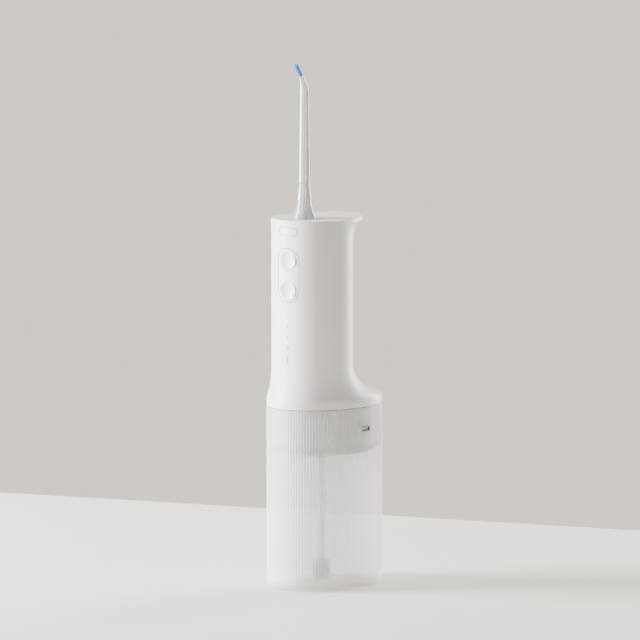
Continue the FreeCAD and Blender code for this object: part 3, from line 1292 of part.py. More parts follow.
def nozzle_tube():
    """Clear jet tube: stem, finned trumpet foot, tapering tube and bent end."""
    bend_z = BELL_FOOT_Z + TUBE_BEND_HEIGHT
    bell_top = BELL_FOOT_Z + BELL_TOP_HEIGHT
    outer = revolve_z([(0, BELL_FOOT_Z)] + bell_outline(0) + [(0, bell_top)], NOZZLE_Y)
    inner_points = bell_outline(BELL_WALL)[:-1]
    hollow = revolve_z([(0, BELL_FOOT_Z)] + inner_points + [(0, inner_points[-1][1])], NOZZLE_Y)
    half = BELL_FIN_THICK / 2
    fins = []
    for index in range(BELL_FINS):
        fin = box((0, BELL_FOOT_RADIUS), (-half, half), (BELL_FOOT_Z, bell_top))
        fin.rotate(Vector(0, 0, 0), Z_AXIS, FULL_TURN / BELL_FINS * (index + 1 / 2))
        fin.translate(Vector(0, NOZZLE_Y, 0))
        fins.append(fin)
    core = rod_z(BELL_CORE_RADIUS, 0, NOZZLE_Y, BELL_FOOT_Z, bell_top)
    filling = core.fuse(fins).common(outer)
    bell = outer.cut(hollow).fuse(filling)
    tube_foot = Vector(0, NOZZLE_Y, bell_top)
    tube = Part.makeCone(TUBE_FOOT_RADIUS, TUBE_BEND_RADIUS, bend_z - bell_top, tube_foot)
    stem = rod_z(STEM_RADIUS, 0, NOZZLE_Y, STEM_FOOT_Z, BELL_FOOT_Z)
    ring_z = STEM_FOOT_Z + STEM_RING_RISE
    stem = stem.cut(ring_groove(STEM_RING_RADIUS, STEM_RING_WIRE, STEM_RADIUS, ring_z))
    end = bend_point(BEND_ANGLE)
    spigot = Part.makeCylinder(TIP_SPIGOT_RADIUS, TIP_SPIGOT_LENGTH, end, tip_direction())
    body = bell.fuse([stem, tube, tube_bend(TUBE_BEND_RADIUS, TUBE_END_RADIUS), spigot])
    bore = rod_z(NOZZLE_BORE, 0, NOZZLE_Y, STEM_FOOT_Z, bend_z)
    bore = bore.fuse([
        tube_bend(NOZZLE_BORE, NOZZLE_BORE),
        Part.makeCylinder(NOZZLE_BORE, TIP_SPIGOT_LENGTH, end, tip_direction()),
    ])
    return body.cut(bore)


def tip_direction():
    return Vector(0, -math.sin(BEND_ANGLE), math.cos(BEND_ANGLE))


def nozzle_tip():
    start = bend_point(BEND_ANGLE)
    along = tip_direction()
    body = Part.makeCylinder(TIP_RADIUS, TIP_LENGTH)
    top_edges = [edge for edge in body.Edges if edge.BoundBox.ZMin > TIP_LENGTH / 2]
    body = body.makeFillet(TIP_ROUND, top_edges)
    body = body.cut([
        Part.makeCylinder(TIP_SPIGOT_RADIUS, TIP_SPIGOT_LENGTH),
        Part.makeCylinder(TIP_JET_RADIUS, TIP_LENGTH),
    ])
    body.Placement = FreeCAD.Placement(start, FreeCAD.Rotation(Z_AXIS, along))
    return body


# ---- charging socket ----
def charge_socket():
    start = SOCKET_BACK_Y - SOCKET_LENGTH
    outer = pill_y(SOCKET_HALF_WIDTH, SOCKET_HALF_HEIGHT, SOCKET_Z, start, SOCKET_BACK_Y)
    hollow = pill_y(SOCKET_HALF_WIDTH - SOCKET_WALL, SOCKET_HALF_HEIGHT - SOCKET_WALL, SOCKET_Z,
                    SOCKET_BACK_Y - SOCKET_DEPTH, SOCKET_BACK_Y)
    return outer.cut(hollow)


def socket_tongue():
    start = SOCKET_BACK_Y - SOCKET_DEPTH
    return box((-TONGUE_HALF_WIDTH, TONGUE_HALF_WIDTH), (start, start + TONGUE_LENGTH),
               (SOCKET_Z - TONGUE_HALF_HEIGHT, SOCKET_Z + TONGUE_HALF_HEIGHT))


def charge_board():
    top = SOCKET_Z - SOCKET_HALF_HEIGHT
    start = SOCKET_BACK_Y - SOCKET_LENGTH
    return box((-SOCKET_BOARD_HALF, SOCKET_BOARD_HALF), (start, SOCKET_BACK_Y - SOCKET_BOARD_BACK),
               (top - SOCKET_BOARD_THICK, top))


def cover_prism(gap):
    half = COVER_HALF_WIDTH + gap
    low = COVER_FOOT_Z - gap
    high = COVER_FOOT_Z + COVER_HEIGHT + gap
    prism = box((-half, half), (SOCKET_BACK_Y - SOCKET_BOARD_BACK, HANDLE_BACK_Y + WALL), (low, high))
    return prism.makeFillet(COVER_CORNER, edges_along(prism, Y_AXIS))


def port_cover():
    """A soft flap over the charging socket, with a bead along its lower edge that it turns on."""
    skin = handle_ring(HANDLE_RADIUS - COVER_THICKNESS, HANDLE_RADIUS, SEAM_Z, BODY_TOP_Z)
    plate = cover_prism(0).common(skin)
    inner_y = HANDLE_BACK_Y - COVER_THICKNESS
    nub = pill_y(COVER_NUB_HALF_WIDTH, COVER_NUB_HALF_HEIGHT, SOCKET_Z, inner_y - COVER_NUB_LENGTH,
                 inner_y + COVER_THICKNESS / 2)
    bead = rod_x(COVER_BEAD_RADIUS, COVER_PIVOT_Y, COVER_FOOT_Z, -COVER_BEAD_HALF, COVER_BEAD_HALF)
    return plate.fuse([nub, bead])


def cover_pocket():
    floor_radius = HANDLE_RADIUS - COVER_THICKNESS - COVER_FLOOR_GAP
    skin = handle_ring(floor_radius, HANDLE_RADIUS + WALL, SEAM_Z, BODY_TOP_Z)
    half = COVER_BEAD_HALF + COVER_EDGE_GAP
    bead_room = box((-half, half), (COVER_PIVOT_Y - COVER_BEAD_RADIUS, HANDLE_BACK_Y + WALL),
                    (COVER_FOOT_Z - COVER_BEAD_RADIUS - COVER_EDGE_GAP, COVER_FOOT_Z))
    slot = pill_y(SOCKET_HALF_WIDTH + SOCKET_CLEARANCE, SOCKET_HALF_HEIGHT + SOCKET_CLEARANCE, SOCKET_Z,
                  HANDLE_Y + CAVITY_RADIUS - WALL, HANDLE_BACK_Y)
    return [cover_prism(COVER_EDGE_GAP).common(skin), bead_room.common(skin), slot]


# ---- handle shell and cap ----
def handle_shell():
    outer = handle_body(0)
    rim_edges = [edge for edge in outer.Edges if edge.BoundBox.ZMin > BODY_TOP_Z - SHAFT_CLEARANCE]
    outer = outer.makeFillet(RIM_ROUND, rim_edges)
    body = outer.cut(handle_body(WALL))
    radius = HANDLE_RADIUS - RIM_WIDTH
    pocket_reach = beak_reach(1, RIM_WIDTH)
    body = body.cut(oval_prism(radius, radius, pocket_reach, HANDLE_Y, CAP_FOOT_Z, BODY_TOP_Z))
    body = body.fuse(shell_bosses())
    start = HANDLE_FRONT_Y - WALL
    panel_skin = handle_ring(HANDLE_RADIUS - PANEL_DEPTH, HANDLE_RADIUS + WALL, BOARD_FOOT_Z, BODY_TOP_Z)
    release_width = RELEASE_HALF_WIDTH + SLIDE_GAP
    release_height = RELEASE_HALF_HEIGHT + SLIDE_GAP
    cuts = [
        panel_pill(-TRIM_GAP).common(panel_skin),
        panel_pill(PANEL_LEDGE),
        pill_y(release_width, release_height, RELEASE_Z, start, BOARD_FRONT_Y),
    ]
    cuts += light_pins(SHAFT_CLEARANCE) + cover_pocket() + shell_screws()
    return body.cut(cuts)


def shell_bosses():
    """Two posts on the shell's sides that stand on the deck and take its screws."""
    hollow = handle_body(WALL / 2)
    bosses = []
    for side in SIDES:
        post = rod_z(SHELL_BOSS_RADIUS, side * SHELL_BOSS_X, SHELL_BOSS_Y, DECK_TOP_Z,
                     DECK_TOP_Z + SHELL_BOSS_HEIGHT)
        bosses.append(post.common(hollow))
    return bosses


def top_cap():
    inset = RIM_WIDTH + TRIM_GAP
    radius = HANDLE_RADIUS - inset
    plate = oval_prism(radius, radius, beak_reach(1, inset), HANDLE_Y, CAP_FOOT_Z, BODY_TOP_Z)
    cup = rod_z(CAP_HOLE_RADIUS + CAP_CUP_WALL, 0, NOZZLE_Y, CAP_FOOT_Z - CAP_CUP_DEPTH, CAP_FOOT_Z)
    cup_floor_z = CAP_FOOT_Z - CAP_CUP_DEPTH + CAP_CUP_FLOOR
    body = plate.fuse(cup)
    return body.cut([
        rod_z(CAP_HOLE_RADIUS, 0, NOZZLE_Y, cup_floor_z, BODY_TOP_Z),
        rod_z(STEM_RADIUS + SLIDER_HOLE_CLEARANCE, 0, NOZZLE_Y, CAP_FOOT_Z - CAP_CUP_DEPTH, BODY_TOP_Z),
    ])


# ---- every node ----
def nodes():
    lower_button_z, upper_button_z = BUTTON_HEIGHTS
    return {
        "tank_shell": tank_shell(),
        "pump_base": pump_base(),
        "tank_gasket": tank_gasket(),
        "base_screws": base_screws(),
        "suction_tube": suction_tube(),
        "suction_strainer": suction_strainer(),
        "side_catch_left": side_catch(-1),
        "side_catch_right": side_catch(1),
        "catch_spring_left": catch_spring(-1),
        "catch_spring_right": catch_spring(1),
        "handle_shell": handle_shell(),
        "top_cap": top_cap(),
        "chassis": chassis(),
        "shell_screws": shell_screws(),
        "motor_can": motor_can(),
        "motor_magnets": motor_magnets(),
        "motor_armature": motor_armature(),
        "motor_shaft": motor_shaft(),
        "motor_end_cap": motor_end_cap(),
        "motor_pinion": motor_pinion(),
        "motor_screws": motor_screws(),
        "crank_gear": crank_gear(),
        "crank_axle": crank_axle(),
        "connecting_rod": connecting_rod(),
        "wrist_pin": wrist_pin(),
        "piston": piston(),
        "piston_seal": piston_seal(),
        "pump_block": pump_block(),
        "intake_seal": intake_seal(),
        "inlet_valve": inlet_valve(),
        "outlet_valve": outlet_valve(),
        "outlet_elbow": outlet_elbow(),
        "delivery_hose": delivery_hose(),
        "battery_cell": battery_cell(),
        "battery_tabs": battery_tabs(),
        "main_board": main_board(),
        "board_chips": board_chips(),
        "board_screws": board_screws(),
        "tact_switches": tact_switches(),
        "indicator_leds": indicator_leds(),
        "light_guide": light_guide(),
        "button_panel": button_panel(),
        "panel_seal": panel_seal(),
        "power_button": push_button(upper_button_z),
        "mode_button": push_button(lower_button_z),
        "release_button": release_button(),
        "release_slider": release_slider(),
        "release_spring": release_spring(),
        "nozzle_seat": nozzle_seat(),
        "nozzle_collar": nozzle_collar(),
        "collar_o_ring": collar_o_ring(),
        "nozzle_tube": nozzle_tube(),
        "stem_o_ring": stem_o_ring(),
        "nozzle_tip": nozzle_tip(),
        "charge_socket": charge_socket(),
        "socket_tongue": socket_tongue(),
        "charge_board": charge_board(),
        "port_cover": port_cover(),
    }


def main():
    os.makedirs("parts", exist_ok=True)
    for name, shape in nodes().items():
        if isinstance(shape, list):
            shape = Part.makeCompound(shape)
        shape.exportStep(f"parts/{name}.step")


main()
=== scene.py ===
import math

import bmesh
import bpy
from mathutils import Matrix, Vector


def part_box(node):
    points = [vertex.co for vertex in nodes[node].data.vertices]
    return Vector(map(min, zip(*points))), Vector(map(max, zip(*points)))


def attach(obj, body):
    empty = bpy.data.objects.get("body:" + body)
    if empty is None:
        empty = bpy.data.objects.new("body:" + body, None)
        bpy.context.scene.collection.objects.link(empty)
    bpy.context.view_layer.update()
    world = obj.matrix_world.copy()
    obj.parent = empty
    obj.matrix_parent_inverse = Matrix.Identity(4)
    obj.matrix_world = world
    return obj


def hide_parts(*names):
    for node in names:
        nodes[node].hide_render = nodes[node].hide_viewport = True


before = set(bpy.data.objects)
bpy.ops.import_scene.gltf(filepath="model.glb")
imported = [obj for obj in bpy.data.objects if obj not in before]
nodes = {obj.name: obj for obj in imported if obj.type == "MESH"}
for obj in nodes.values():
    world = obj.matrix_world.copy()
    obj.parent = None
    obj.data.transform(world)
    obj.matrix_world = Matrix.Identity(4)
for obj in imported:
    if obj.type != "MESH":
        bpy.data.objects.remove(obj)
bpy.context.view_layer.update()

MM = 0.001
scene = bpy.context.scene


# ---------------------------------------------------------------- sizes read from the frame

tank_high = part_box("tank_shell")[1]
collar_low, collar_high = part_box("nozzle_collar")
HALF_WIDTH = tank_high[0]
HALF_DEPTH = tank_high[1]
TANK_TOP = tank_high[2]
NOZZLE_Y = (collar_low[1] + collar_high[1]) / 2
catch_low, catch_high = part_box("side_catch_right")
WINDOW_Z = (catch_low[2] + catch_high[2]) / 2


# ---------------------------------------------------------------- materials

CLOUD_SCALE = 55
GLOSS_SCALE = 210
GLOSS_SPREAD = 0.04
GRAIN_STRENGTH = 0.12
GRAIN_DEPTH = 0.00002
COAT_ROUGHNESS = 0.12
SKIN_DEPTH = (0.004, 0.003, 0.0025)
METAL_GLOSS_SPREAD = 0.07
BRUSH_STRENGTH = 0.15
CLEAR_CLOUD_SCALE = 90
CLEAR_CLOUD_SHARE = 0.01
CLEAR_GLOSS_SCALE = 160
CLEAR_GLOSS_SHARE = 0.2
WAVE_SCALE = 700
WAVE_STRENGTH = 0.03
WAVE_DEPTH = 0.00003
NOISE_LOW = 0.3
NOISE_HIGH = 0.7
TANK_ALPHA = 0.36


def new_material(name):
    material = bpy.data.materials.new(name)
    material.use_nodes = True
    tree = material.node_tree
    shader = tree.nodes["Principled BSDF"]
    place = tree.nodes.new("ShaderNodeTexCoord").outputs["Object"]
    return material, tree, shader, place


def noise(tree, place, scale, detail=3.0, stretch=None):
    if stretch:
        mapping = tree.nodes.new("ShaderNodeMapping")
        mapping.inputs["Scale"].default_value = stretch
        tree.links.new(place, mapping.inputs["Vector"])
        place = mapping.outputs["Vector"]
    node = tree.nodes.new("ShaderNodeTexNoise")
    node.inputs["Scale"].default_value = scale
    node.inputs["Detail"].default_value = detail
    tree.links.new(place, node.inputs["Vector"])
    return node.outputs["Fac"]


def spread(tree, factor, low, high):
    node = tree.nodes.new("ShaderNodeMapRange")
    node.inputs["From Min"].default_value = NOISE_LOW
    node.inputs["From Max"].default_value = NOISE_HIGH
    node.inputs["To Min"].default_value = low
    node.inputs["To Max"].default_value = high
    tree.links.new(factor, node.inputs["Value"])
    return node.outputs["Result"]


def two_tone(tree, factor, colour, share):
    ramp = tree.nodes.new("ShaderNodeValToRGB")
    dark = [c * (1 - share) for c in colour]
    light = [min(1.0, c * (1 + share)) for c in colour]
    ramp.color_ramp.elements[0].position = NOISE_LOW
    ramp.color_ramp.elements[1].position = NOISE_HIGH
    ramp.color_ramp.elements[0].color = (*dark, 1)
    ramp.color_ramp.elements[1].color = (*light, 1)
    tree.links.new(factor, ramp.inputs["Fac"])
    return ramp.outputs["Color"]


def bump(tree, shader, height, strength, distance):
    node = tree.nodes.new("ShaderNodeBump")
    node.inputs["Strength"].default_value = strength
    node.inputs["Distance"].default_value = distance
    tree.links.new(height, node.inputs["Height"])
    tree.links.new(node.outputs["Normal"], shader.inputs["Normal"])


def moulded(name, colour, rough, share=0.02, grain=2600, coat=0.0, soft=0.0):
    """Moulded plastic or rubber: faint shade changes, a fine spark-eroded grain."""
    material, tree, shader, place = new_material(name)
    cloud = noise(tree, place, CLOUD_SCALE, 4)
    tree.links.new(two_tone(tree, cloud, colour, share), shader.inputs["Base Color"])
    fine = noise(tree, place, grain, 2)
    gloss = spread(tree, noise(tree, place, GLOSS_SCALE, 5), rough - GLOSS_SPREAD,
                   rough + GLOSS_SPREAD)
    tree.links.new(gloss, shader.inputs["Roughness"])
    bump(tree, shader, fine, GRAIN_STRENGTH, GRAIN_DEPTH)
    shader.inputs["Specular IOR Level"].default_value = 0.5
    shader.inputs["Coat Weight"].default_value = coat
    shader.inputs["Coat Roughness"].default_value = COAT_ROUGHNESS
    if soft:
        shader.inputs["Subsurface Weight"].default_value = soft
        shader.inputs["Subsurface Radius"].default_value = SKIN_DEPTH
        shader.inputs["Subsurface Scale"].default_value = 1.0
    return material


def metal(name, colour, rough, stretch, scale=900, share=0.08):
    """Drawn, rolled or turned metal: brushing lines along one direction."""
    material, tree, shader, place = new_material(name)
    lines = noise(tree, place, scale, 4, stretch)
    tree.links.new(two_tone(tree, lines, colour, share), shader.inputs["Base Color"])
    gloss = spread(tree, lines, rough - METAL_GLOSS_SPREAD, rough + METAL_GLOSS_SPREAD)
    tree.links.new(gloss, shader.inputs["Roughness"])
    shader.inputs["Metallic"].default_value = 1.0
    bump(tree, shader, lines, BRUSH_STRENGTH, GRAIN_DEPTH)
    return material


def clear(name, colour, rough, transmission, ior=1.49):
    """Transparent or frosted plastic: flow marks in its gloss, a very slight waviness."""
    material, tree, shader, place = new_material(name)
    cloud = noise(tree, place, CLEAR_CLOUD_SCALE, 3)
    tree.links.new(two_tone(tree, cloud, colour, CLEAR_CLOUD_SHARE), shader.inputs["Base Color"])
    gloss = spread(tree, noise(tree, place, CLEAR_GLOSS_SCALE, 2),
                   rough * (1 - CLEAR_GLOSS_SHARE), rough * (1 + CLEAR_GLOSS_SHARE))
    tree.links.new(gloss, shader.inputs["Roughness"])
    shader.inputs["Transmission Weight"].default_value = transmission
    shader.inputs["IOR"].default_value = ior
    bump(tree, shader, noise(tree, place, WAVE_SCALE, 2), WAVE_STRENGTH, WAVE_DEPTH)
    return material


# Near-black for the cut faces of the tank's side windows: painted shade on the wall's cut edge.
painted_window_shade = moulded("window_edge_painted_shade", (0.10, 0.10, 0.105), 0.5, share=0.05)
shell_plastic = moulded("shell_white_satin", (0.83, 0.82, 0.80), 0.42, share=0.012, soft=0.05)
cap_plastic = moulded("cap_white_satin", (0.86, 0.86, 0.85), 0.34, share=0.01, coat=0.15)
button_plastic = moulded("button_white_satin", (0.84, 0.825, 0.815), 0.34, share=0.012)
release_plastic = moulded("release_white_satin", (0.82, 0.82, 0.83), 0.32, share=0.012)
base_plastic = moulded("base_light_grey", (0.42, 0.425, 0.425), 0.45, share=0.02)
catch_plastic = moulded("catch_light_grey", (0.74, 0.75, 0.75), 0.36, share=0.02)
seal_rubber = moulded("seal_grey_silicone", (0.42, 0.43, 0.44), 0.55, share=0.03, soft=0.05)
cover_rubber = moulded("cover_white_silicone", (0.78, 0.775, 0.76), 0.55, share=0.015)
panel_seal_rubber = moulded("panel_seal_grey", (0.36, 0.35, 0.36), 0.6, share=0.03)
tank_plastic = moulded("tank_frosted", (0.96, 0.965, 0.965), 0.34, share=0.012, grain=900)
tank_plastic.node_tree.nodes["Principled BSDF"].inputs["Alpha"].default_value = TANK_ALPHA
# Dark silicone for the tank gasket; the same near-black also paints shade on the skirt seam ring
# and the catch window frames.
gasket_rubber_and_painted_shade = moulded("gasket_silicone_and_painted_shade", (0.10, 0.10, 0.105), 0.5, share=0.05)
# Near-black for the strips round the button panel and the release button: painted shade for the
# shadow in those gaps.
painted_gap_shade = moulded("gap_painted_shade", (0.15, 0.15, 0.155), 0.55, share=0.05)
nozzle_plastic = clear("nozzle_clear", (0.99, 0.99, 0.99), 0.05, 0.76)
hose_plastic = clear("tube_translucent", (0.86, 0.88, 0.88), 0.3, 0.7, 1.45)
tip_rubber = moulded("tip_blue_soft", (0.045, 0.24, 0.66), 0.36, share=0.08, soft=0.05)
collar_plastic = moulded("collar_grey_satin", (0.40, 0.41, 0.42), 0.3, share=0.03)
dark_plastic = moulded("inner_dark_plastic", (0.11, 0.115, 0.12), 0.5, share=0.06)
strainer_plastic = moulded("strainer_grey", (0.30, 0.305, 0.31), 0.45, share=0.05)
pump_plastic = moulded("pump_grey_plastic", (0.30, 0.31, 0.30), 0.4, share=0.04)
gear_plastic = moulded("gear_acetal", (0.80, 0.78, 0.68), 0.32, share=0.03)
battery_wrap = moulded("battery_wrap_blue", (0.05, 0.16, 0.27), 0.25, share=0.05, coat=0.4)
board_green = moulded("board_solder_mask", (0.02, 0.14, 0.06), 0.3, share=0.12, coat=0.3)
chip_black = moulded("chip_black_resin", (0.02, 0.02, 0.022), 0.5, share=0.1)
light_white = moulded("light_guide_grey", (0.34, 0.34, 0.35), 0.3, share=0.03)
magnet_dark = moulded("magnet_ferrite", (0.05, 0.05, 0.055), 0.6, share=0.12, grain=1500)
drawn_steel = metal("steel_drawn", (0.62, 0.62, 0.63), 0.3, (1, 1, 0.04))
turned_steel = metal("steel_turned", (0.60, 0.60, 0.61), 0.28, (0.3, 0.3, 3.0))
spring_wire = metal("steel_spring_wire", (0.50, 0.50, 0.52), 0.26, (1, 1, 1), 1500)
turned_brass = metal("brass_turned", (0.80, 0.58, 0.26), 0.27, (0.3, 0.3, 3.0))
armature_metal = metal("armature_laminations", (0.50, 0.33, 0.22), 0.38, (0.1, 0.1, 5.0), 700, 0.2)

finishes = {
    "tank_shell": tank_plastic, "pump_base": base_plastic, "tank_gasket": gasket_rubber_and_painted_shade,
    "suction_tube": hose_plastic, "suction_strainer": strainer_plastic,
    "side_catch_left": catch_plastic, "side_catch_right": catch_plastic,
    "catch_spring_left": spring_wire, "catch_spring_right": spring_wire,
    "release_spring": spring_wire, "handle_shell": shell_plastic, "top_cap": cap_plastic,
    "chassis": dark_plastic, "base_screws": turned_steel, "shell_screws": turned_steel,
    "motor_screws": turned_steel, "board_screws": turned_steel, "motor_can": drawn_steel,
    "motor_magnets": magnet_dark, "motor_armature": armature_metal,
    "motor_shaft": turned_steel, "motor_end_cap": dark_plastic,
    "motor_pinion": turned_brass, "crank_gear": gear_plastic, "crank_axle": turned_steel,
    "connecting_rod": gear_plastic, "wrist_pin": turned_steel, "piston": gear_plastic,
    "piston_seal": seal_rubber, "pump_block": pump_plastic, "intake_seal": seal_rubber,
    "inlet_valve": seal_rubber, "outlet_valve": seal_rubber, "outlet_elbow": pump_plastic,
    "delivery_hose": hose_plastic, "battery_cell": battery_wrap,
    "battery_tabs": drawn_steel, "main_board": board_green, "board_chips": chip_black,
    "tact_switches": chip_black, "indicator_leds": light_white,
    "light_guide": light_white, "button_panel": button_plastic,
    "panel_seal": panel_seal_rubber, "power_button": button_plastic,
    "mode_button": button_plastic, "release_button": release_plastic,
    "release_slider": dark_plastic, "nozzle_seat": pump_plastic,
    "nozzle_collar": collar_plastic, "collar_o_ring": seal_rubber,
    "nozzle_tube": nozzle_plastic, "stem_o_ring": seal_rubber, "nozzle_tip": tip_rubber,
    "charge_socket": drawn_steel, "socket_tongue": chip_black,
    "charge_board": board_green, "port_cover": cover_rubber,
}
for name, material in finishes.items():
    node = nodes[name]
    for place in range(len(node.material_slots)):
        node.material_slots[place].link = "OBJECT"
        node.material_slots[place].material = material


# ---------------------------------------------------------------- mesh helpers

def add_piece(name, vertices, faces, material, body, replaced=()):
    """A visible mesh that rides a body; it may take the place of CAD nodes."""
    mesh = bpy.data.meshes.new(name)
    mesh.from_pydata([tuple(v) for v in vertices], [], faces)
    mesh.validate()
    mesh.update()
    piece = bpy.data.objects.new(name, mesh)
    scene.collection.objects.link(piece)
    mesh.materials.append(material)
    for face in mesh.polygons:
        face.use_smooth = True
    if replaced:
        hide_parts(*replaced)
    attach(piece, body)
    return piece


def ring_faces(rings, count, closed_ends=True):
    """Quads between rings of equal count, with a flat cap on each end if asked."""
    faces = []
    for ring in range(rings - 1):
        for step in range(count):
            a = ring * count + step
            b = ring * count + (step + 1) % count
            faces.append((a, b, b + count, a + count))
    if closed_ends:
        faces.append(tuple(reversed(range(count))))
        last = (rings - 1) * count
        faces.append(tuple(range(last, last + count)))
    return faces


def looped_faces(rings, count):
    """Quads between rings, the last of which joins the first: a solid with a hole."""
    faces = ring_faces(rings, count, False)
    last = (rings - 1) * count
    for step in range(count):
        after = (step + 1) % count
        faces.append((last + step, last + after, after, step))
    return faces


def face_outward(mesh):
    """Turns every face's front to the outside."""
    solid = bmesh.new()
    solid.from_mesh(mesh)
    bmesh.ops.recalc_face_normals(solid, faces=solid.faces)
    solid.to_mesh(mesh)
    solid.free()


def make_cutter(name, vertices, faces, material):
    """A solid to take out of a piece; the faces it leaves wear its material."""
    mesh = bpy.data.meshes.new(name)
    mesh.from_pydata(vertices, [], faces)
    mesh.materials.append(material)
    cutter = bpy.data.objects.new(name, mesh)
    scene.collection.objects.link(cutter)
    face_outward(mesh)
    return cutter


def cut(piece, cutters):
    """Takes the cutters out of the piece, for good."""
    for cutter in cutters:
        modifier = piece.modifiers.new("cut", "BOOLEAN")
        modifier.operation = "DIFFERENCE"
        modifier.solver = "EXACT"
        modifier.object = cutter
    bpy.context.view_layer.update()
    shape = bpy.data.meshes.new_from_object(
        piece.evaluated_get(bpy.context.evaluated_depsgraph_get()))
    piece.modifiers.clear()
    piece.data = shape
    for cutter in cutters:
        bpy.data.objects.remove(cutter)


def smooth_by_angle(piece, degrees):
    """Keeps edges sharper than the angle crisp in the shading."""
    mesh = piece.data
    body = bmesh.new()
    body.from_mesh(mesh)
    limit = math.radians(degrees)
    for edge in body.edges:
        if len(edge.link_faces) == 2:
            edge.smooth = edge.calc_face_angle(0) < limit
    body.to_mesh(mesh)
    body.free()


# ---------------------------------------------------------------- tank
# Heights, insets and drops listed in brackets, and SIDE_TOP, are in mm.

RIB_COUNT = 128
RIB_STEPS = 8
RIB_DEPTH = 0.30 * MM
RIB_FADE_START = 4.0 * MM
RIB_FADE_HEIGHT = 7 * MM
OUTLINE_FINENESS = 8
WALL = 2.2 * MM
FLOOR = 2.4 * MM
FOOT_ROUND = 1.6 * MM
FOOT_STEPS = 4
FADE_HEIGHTS = (2.6, 3.4, 4.2, 5, 6, 7, 8, 9, 10, 11, 12.5)
SIDE_TOP = 98.3
SIDE_STEPS = 9
MOUTH_OUTSIDE = ((0.12, 0.12), (0.35, 0.0))
MOUTH_INSIDE = ((0.35, 0.0), (0.05, 0.25), (0.0, 0.6))
INNER_HEIGHTS = (60, 20, 9, 5.6)
FLOOR_ROUND = 3 * MM
FLOOR_STEPS = 5
TANK_SHARP_ANGLE = 62
WINDOW_HALF_WIDTH = 3.8 * MM
WINDOW_HALF_HEIGHT = 1.5 * MM
WINDOW_CORNER = 0.8 * MM
WINDOW_CORNER_STEPS = 6
WINDOW_CUT_INSIDE = 4 * MM
WINDOW_CUT_OUTSIDE = 2 * MM


def even_angles(half_width, half_depth, count):
    """Angles that divide an ellipse's outline into equal lengths."""
    fine = count * OUTLINE_FINENESS
    lengths = [0.0]
    for step in range(fine):
        angle = 2 * math.pi * (step + 0.5) / fine
        lengths.append(lengths[-1] + math.hypot(half_width * math.sin(angle),
                                                half_depth * math.cos(angle)))
    angles = []
    step = 0
    for index in range(count):
        target = lengths[-1] * index / count
        while lengths[step + 1] < target:
            step += 1
        part = (target - lengths[step]) / (lengths[step + 1] - lengths[step])
        angles.append(2 * math.pi * (step + part) / fine)
    return angles


def rib_share(z):
    """How far the ribs stand out at a height: they fade out above the foot."""
    share = (z - RIB_FADE_START) / RIB_FADE_HEIGHT
    share = max(0.0, min(1.0, share))
    return share * share * (3 - 2 * share)


def outer_profile():
    """(inset, height) up the outside of the tank, from its foot to below its mouth."""
    profile = []
    for step in range(FOOT_STEPS + 1):
        turn = math.pi / 2 * step / FOOT_STEPS
        profile.append((FOOT_ROUND * (1 - math.sin(turn)), FOOT_ROUND * (1 - math.cos(turn))))
    for z in FADE_HEIGHTS:
        profile.append((0.0, z * MM))
    side_foot = FADE_HEIGHTS[-1]
    for step in range(1, SIDE_STEPS + 1):
        profile.append((0.0, (side_foot + (SIDE_TOP - side_foot) * step / SIDE_STEPS) * MM))
    return profile


def inner_profile():
    """(inset, height) over the tank's mouth and down its inside to the floor."""
    profile = []
    for inset, drop in MOUTH_OUTSIDE:
        profile.append((inset * MM, TANK_TOP - drop * MM))
    for inset, drop in MOUTH_INSIDE:
        profile.append((WALL - inset * MM, TANK_TOP - drop * MM))
    for z in INNER_HEIGHTS:
        profile.append((WALL, z * MM))
    for step in range(1, FLOOR_STEPS + 1):
        turn = math.pi / 2 * step / FLOOR_STEPS
        profile.append((WALL + FLOOR_ROUND * (1 - math.cos(turn)),
                        FLOOR + FLOOR_ROUND * (1 - math.sin(turn))))
    return profile


def tank_mesh():
    count = RIB_COUNT * RIB_STEPS
    angles = even_angles(HALF_WIDTH, HALF_DEPTH, count)
    outer = outer_profile()
    profile = outer + inner_profile()
    vertices = []
    for ring, (inset, z) in enumerate(profile):
        for index, angle in enumerate(angles):
            depth = inset
            if ring < len(outer):
                phase = (index % RIB_STEPS) / RIB_STEPS
                depth += RIB_DEPTH * rib_share(z) * (1 - math.sin(math.pi * phase))
            normal = Vector((math.cos(angle) / HALF_WIDTH, math.sin(angle) / HALF_DEPTH, 0))
            normal.normalize()
            point = Vector((HALF_WIDTH * math.cos(angle), HALF_DEPTH * math.sin(angle), z))
            vertices.append(point - normal * depth)
    return vertices, ring_faces(len(profile), count)


def window_cutter(side):
    """A rounded slot through one side of the tank for its catch; the faces it leaves are painted
    near-black as shade on the window's cut wall.
    """
    outline = []
    for turn, (y, z) in enumerate(((1, 1), (-1, 1), (-1, -1), (1, -1))):
        for step in range(WINDOW_CORNER_STEPS + 1):
            angle = math.pi / 2 * (turn + step / WINDOW_CORNER_STEPS)
            outline.append(
                (y * (WINDOW_HALF_WIDTH - WINDOW_CORNER) + WINDOW_CORNER * math.cos(angle),
                 z * (WINDOW_HALF_HEIGHT - WINDOW_CORNER) + WINDOW_CORNER * math.sin(angle)))
    vertices = []
    for x in (HALF_WIDTH - WINDOW_CUT_INSIDE, HALF_WIDTH + WINDOW_CUT_OUTSIDE):
        for y, z in outline:
            vertices.append((side * x, y, WINDOW_Z + z))
    return make_cutter("window_cutter", vertices, ring_faces(2, len(outline)), painted_window_shade)


tank_vertices, tank_faces = tank_mesh()
tank = add_piece("tank_ribbed", tank_vertices, tank_faces, tank_plastic, "tank",
                 ["tank_shell"])
face_outward(tank.data)
cut(tank, [window_cutter(-1), window_cutter(1)])
smooth_by_angle(tank, TANK_SHARP_ANGLE)
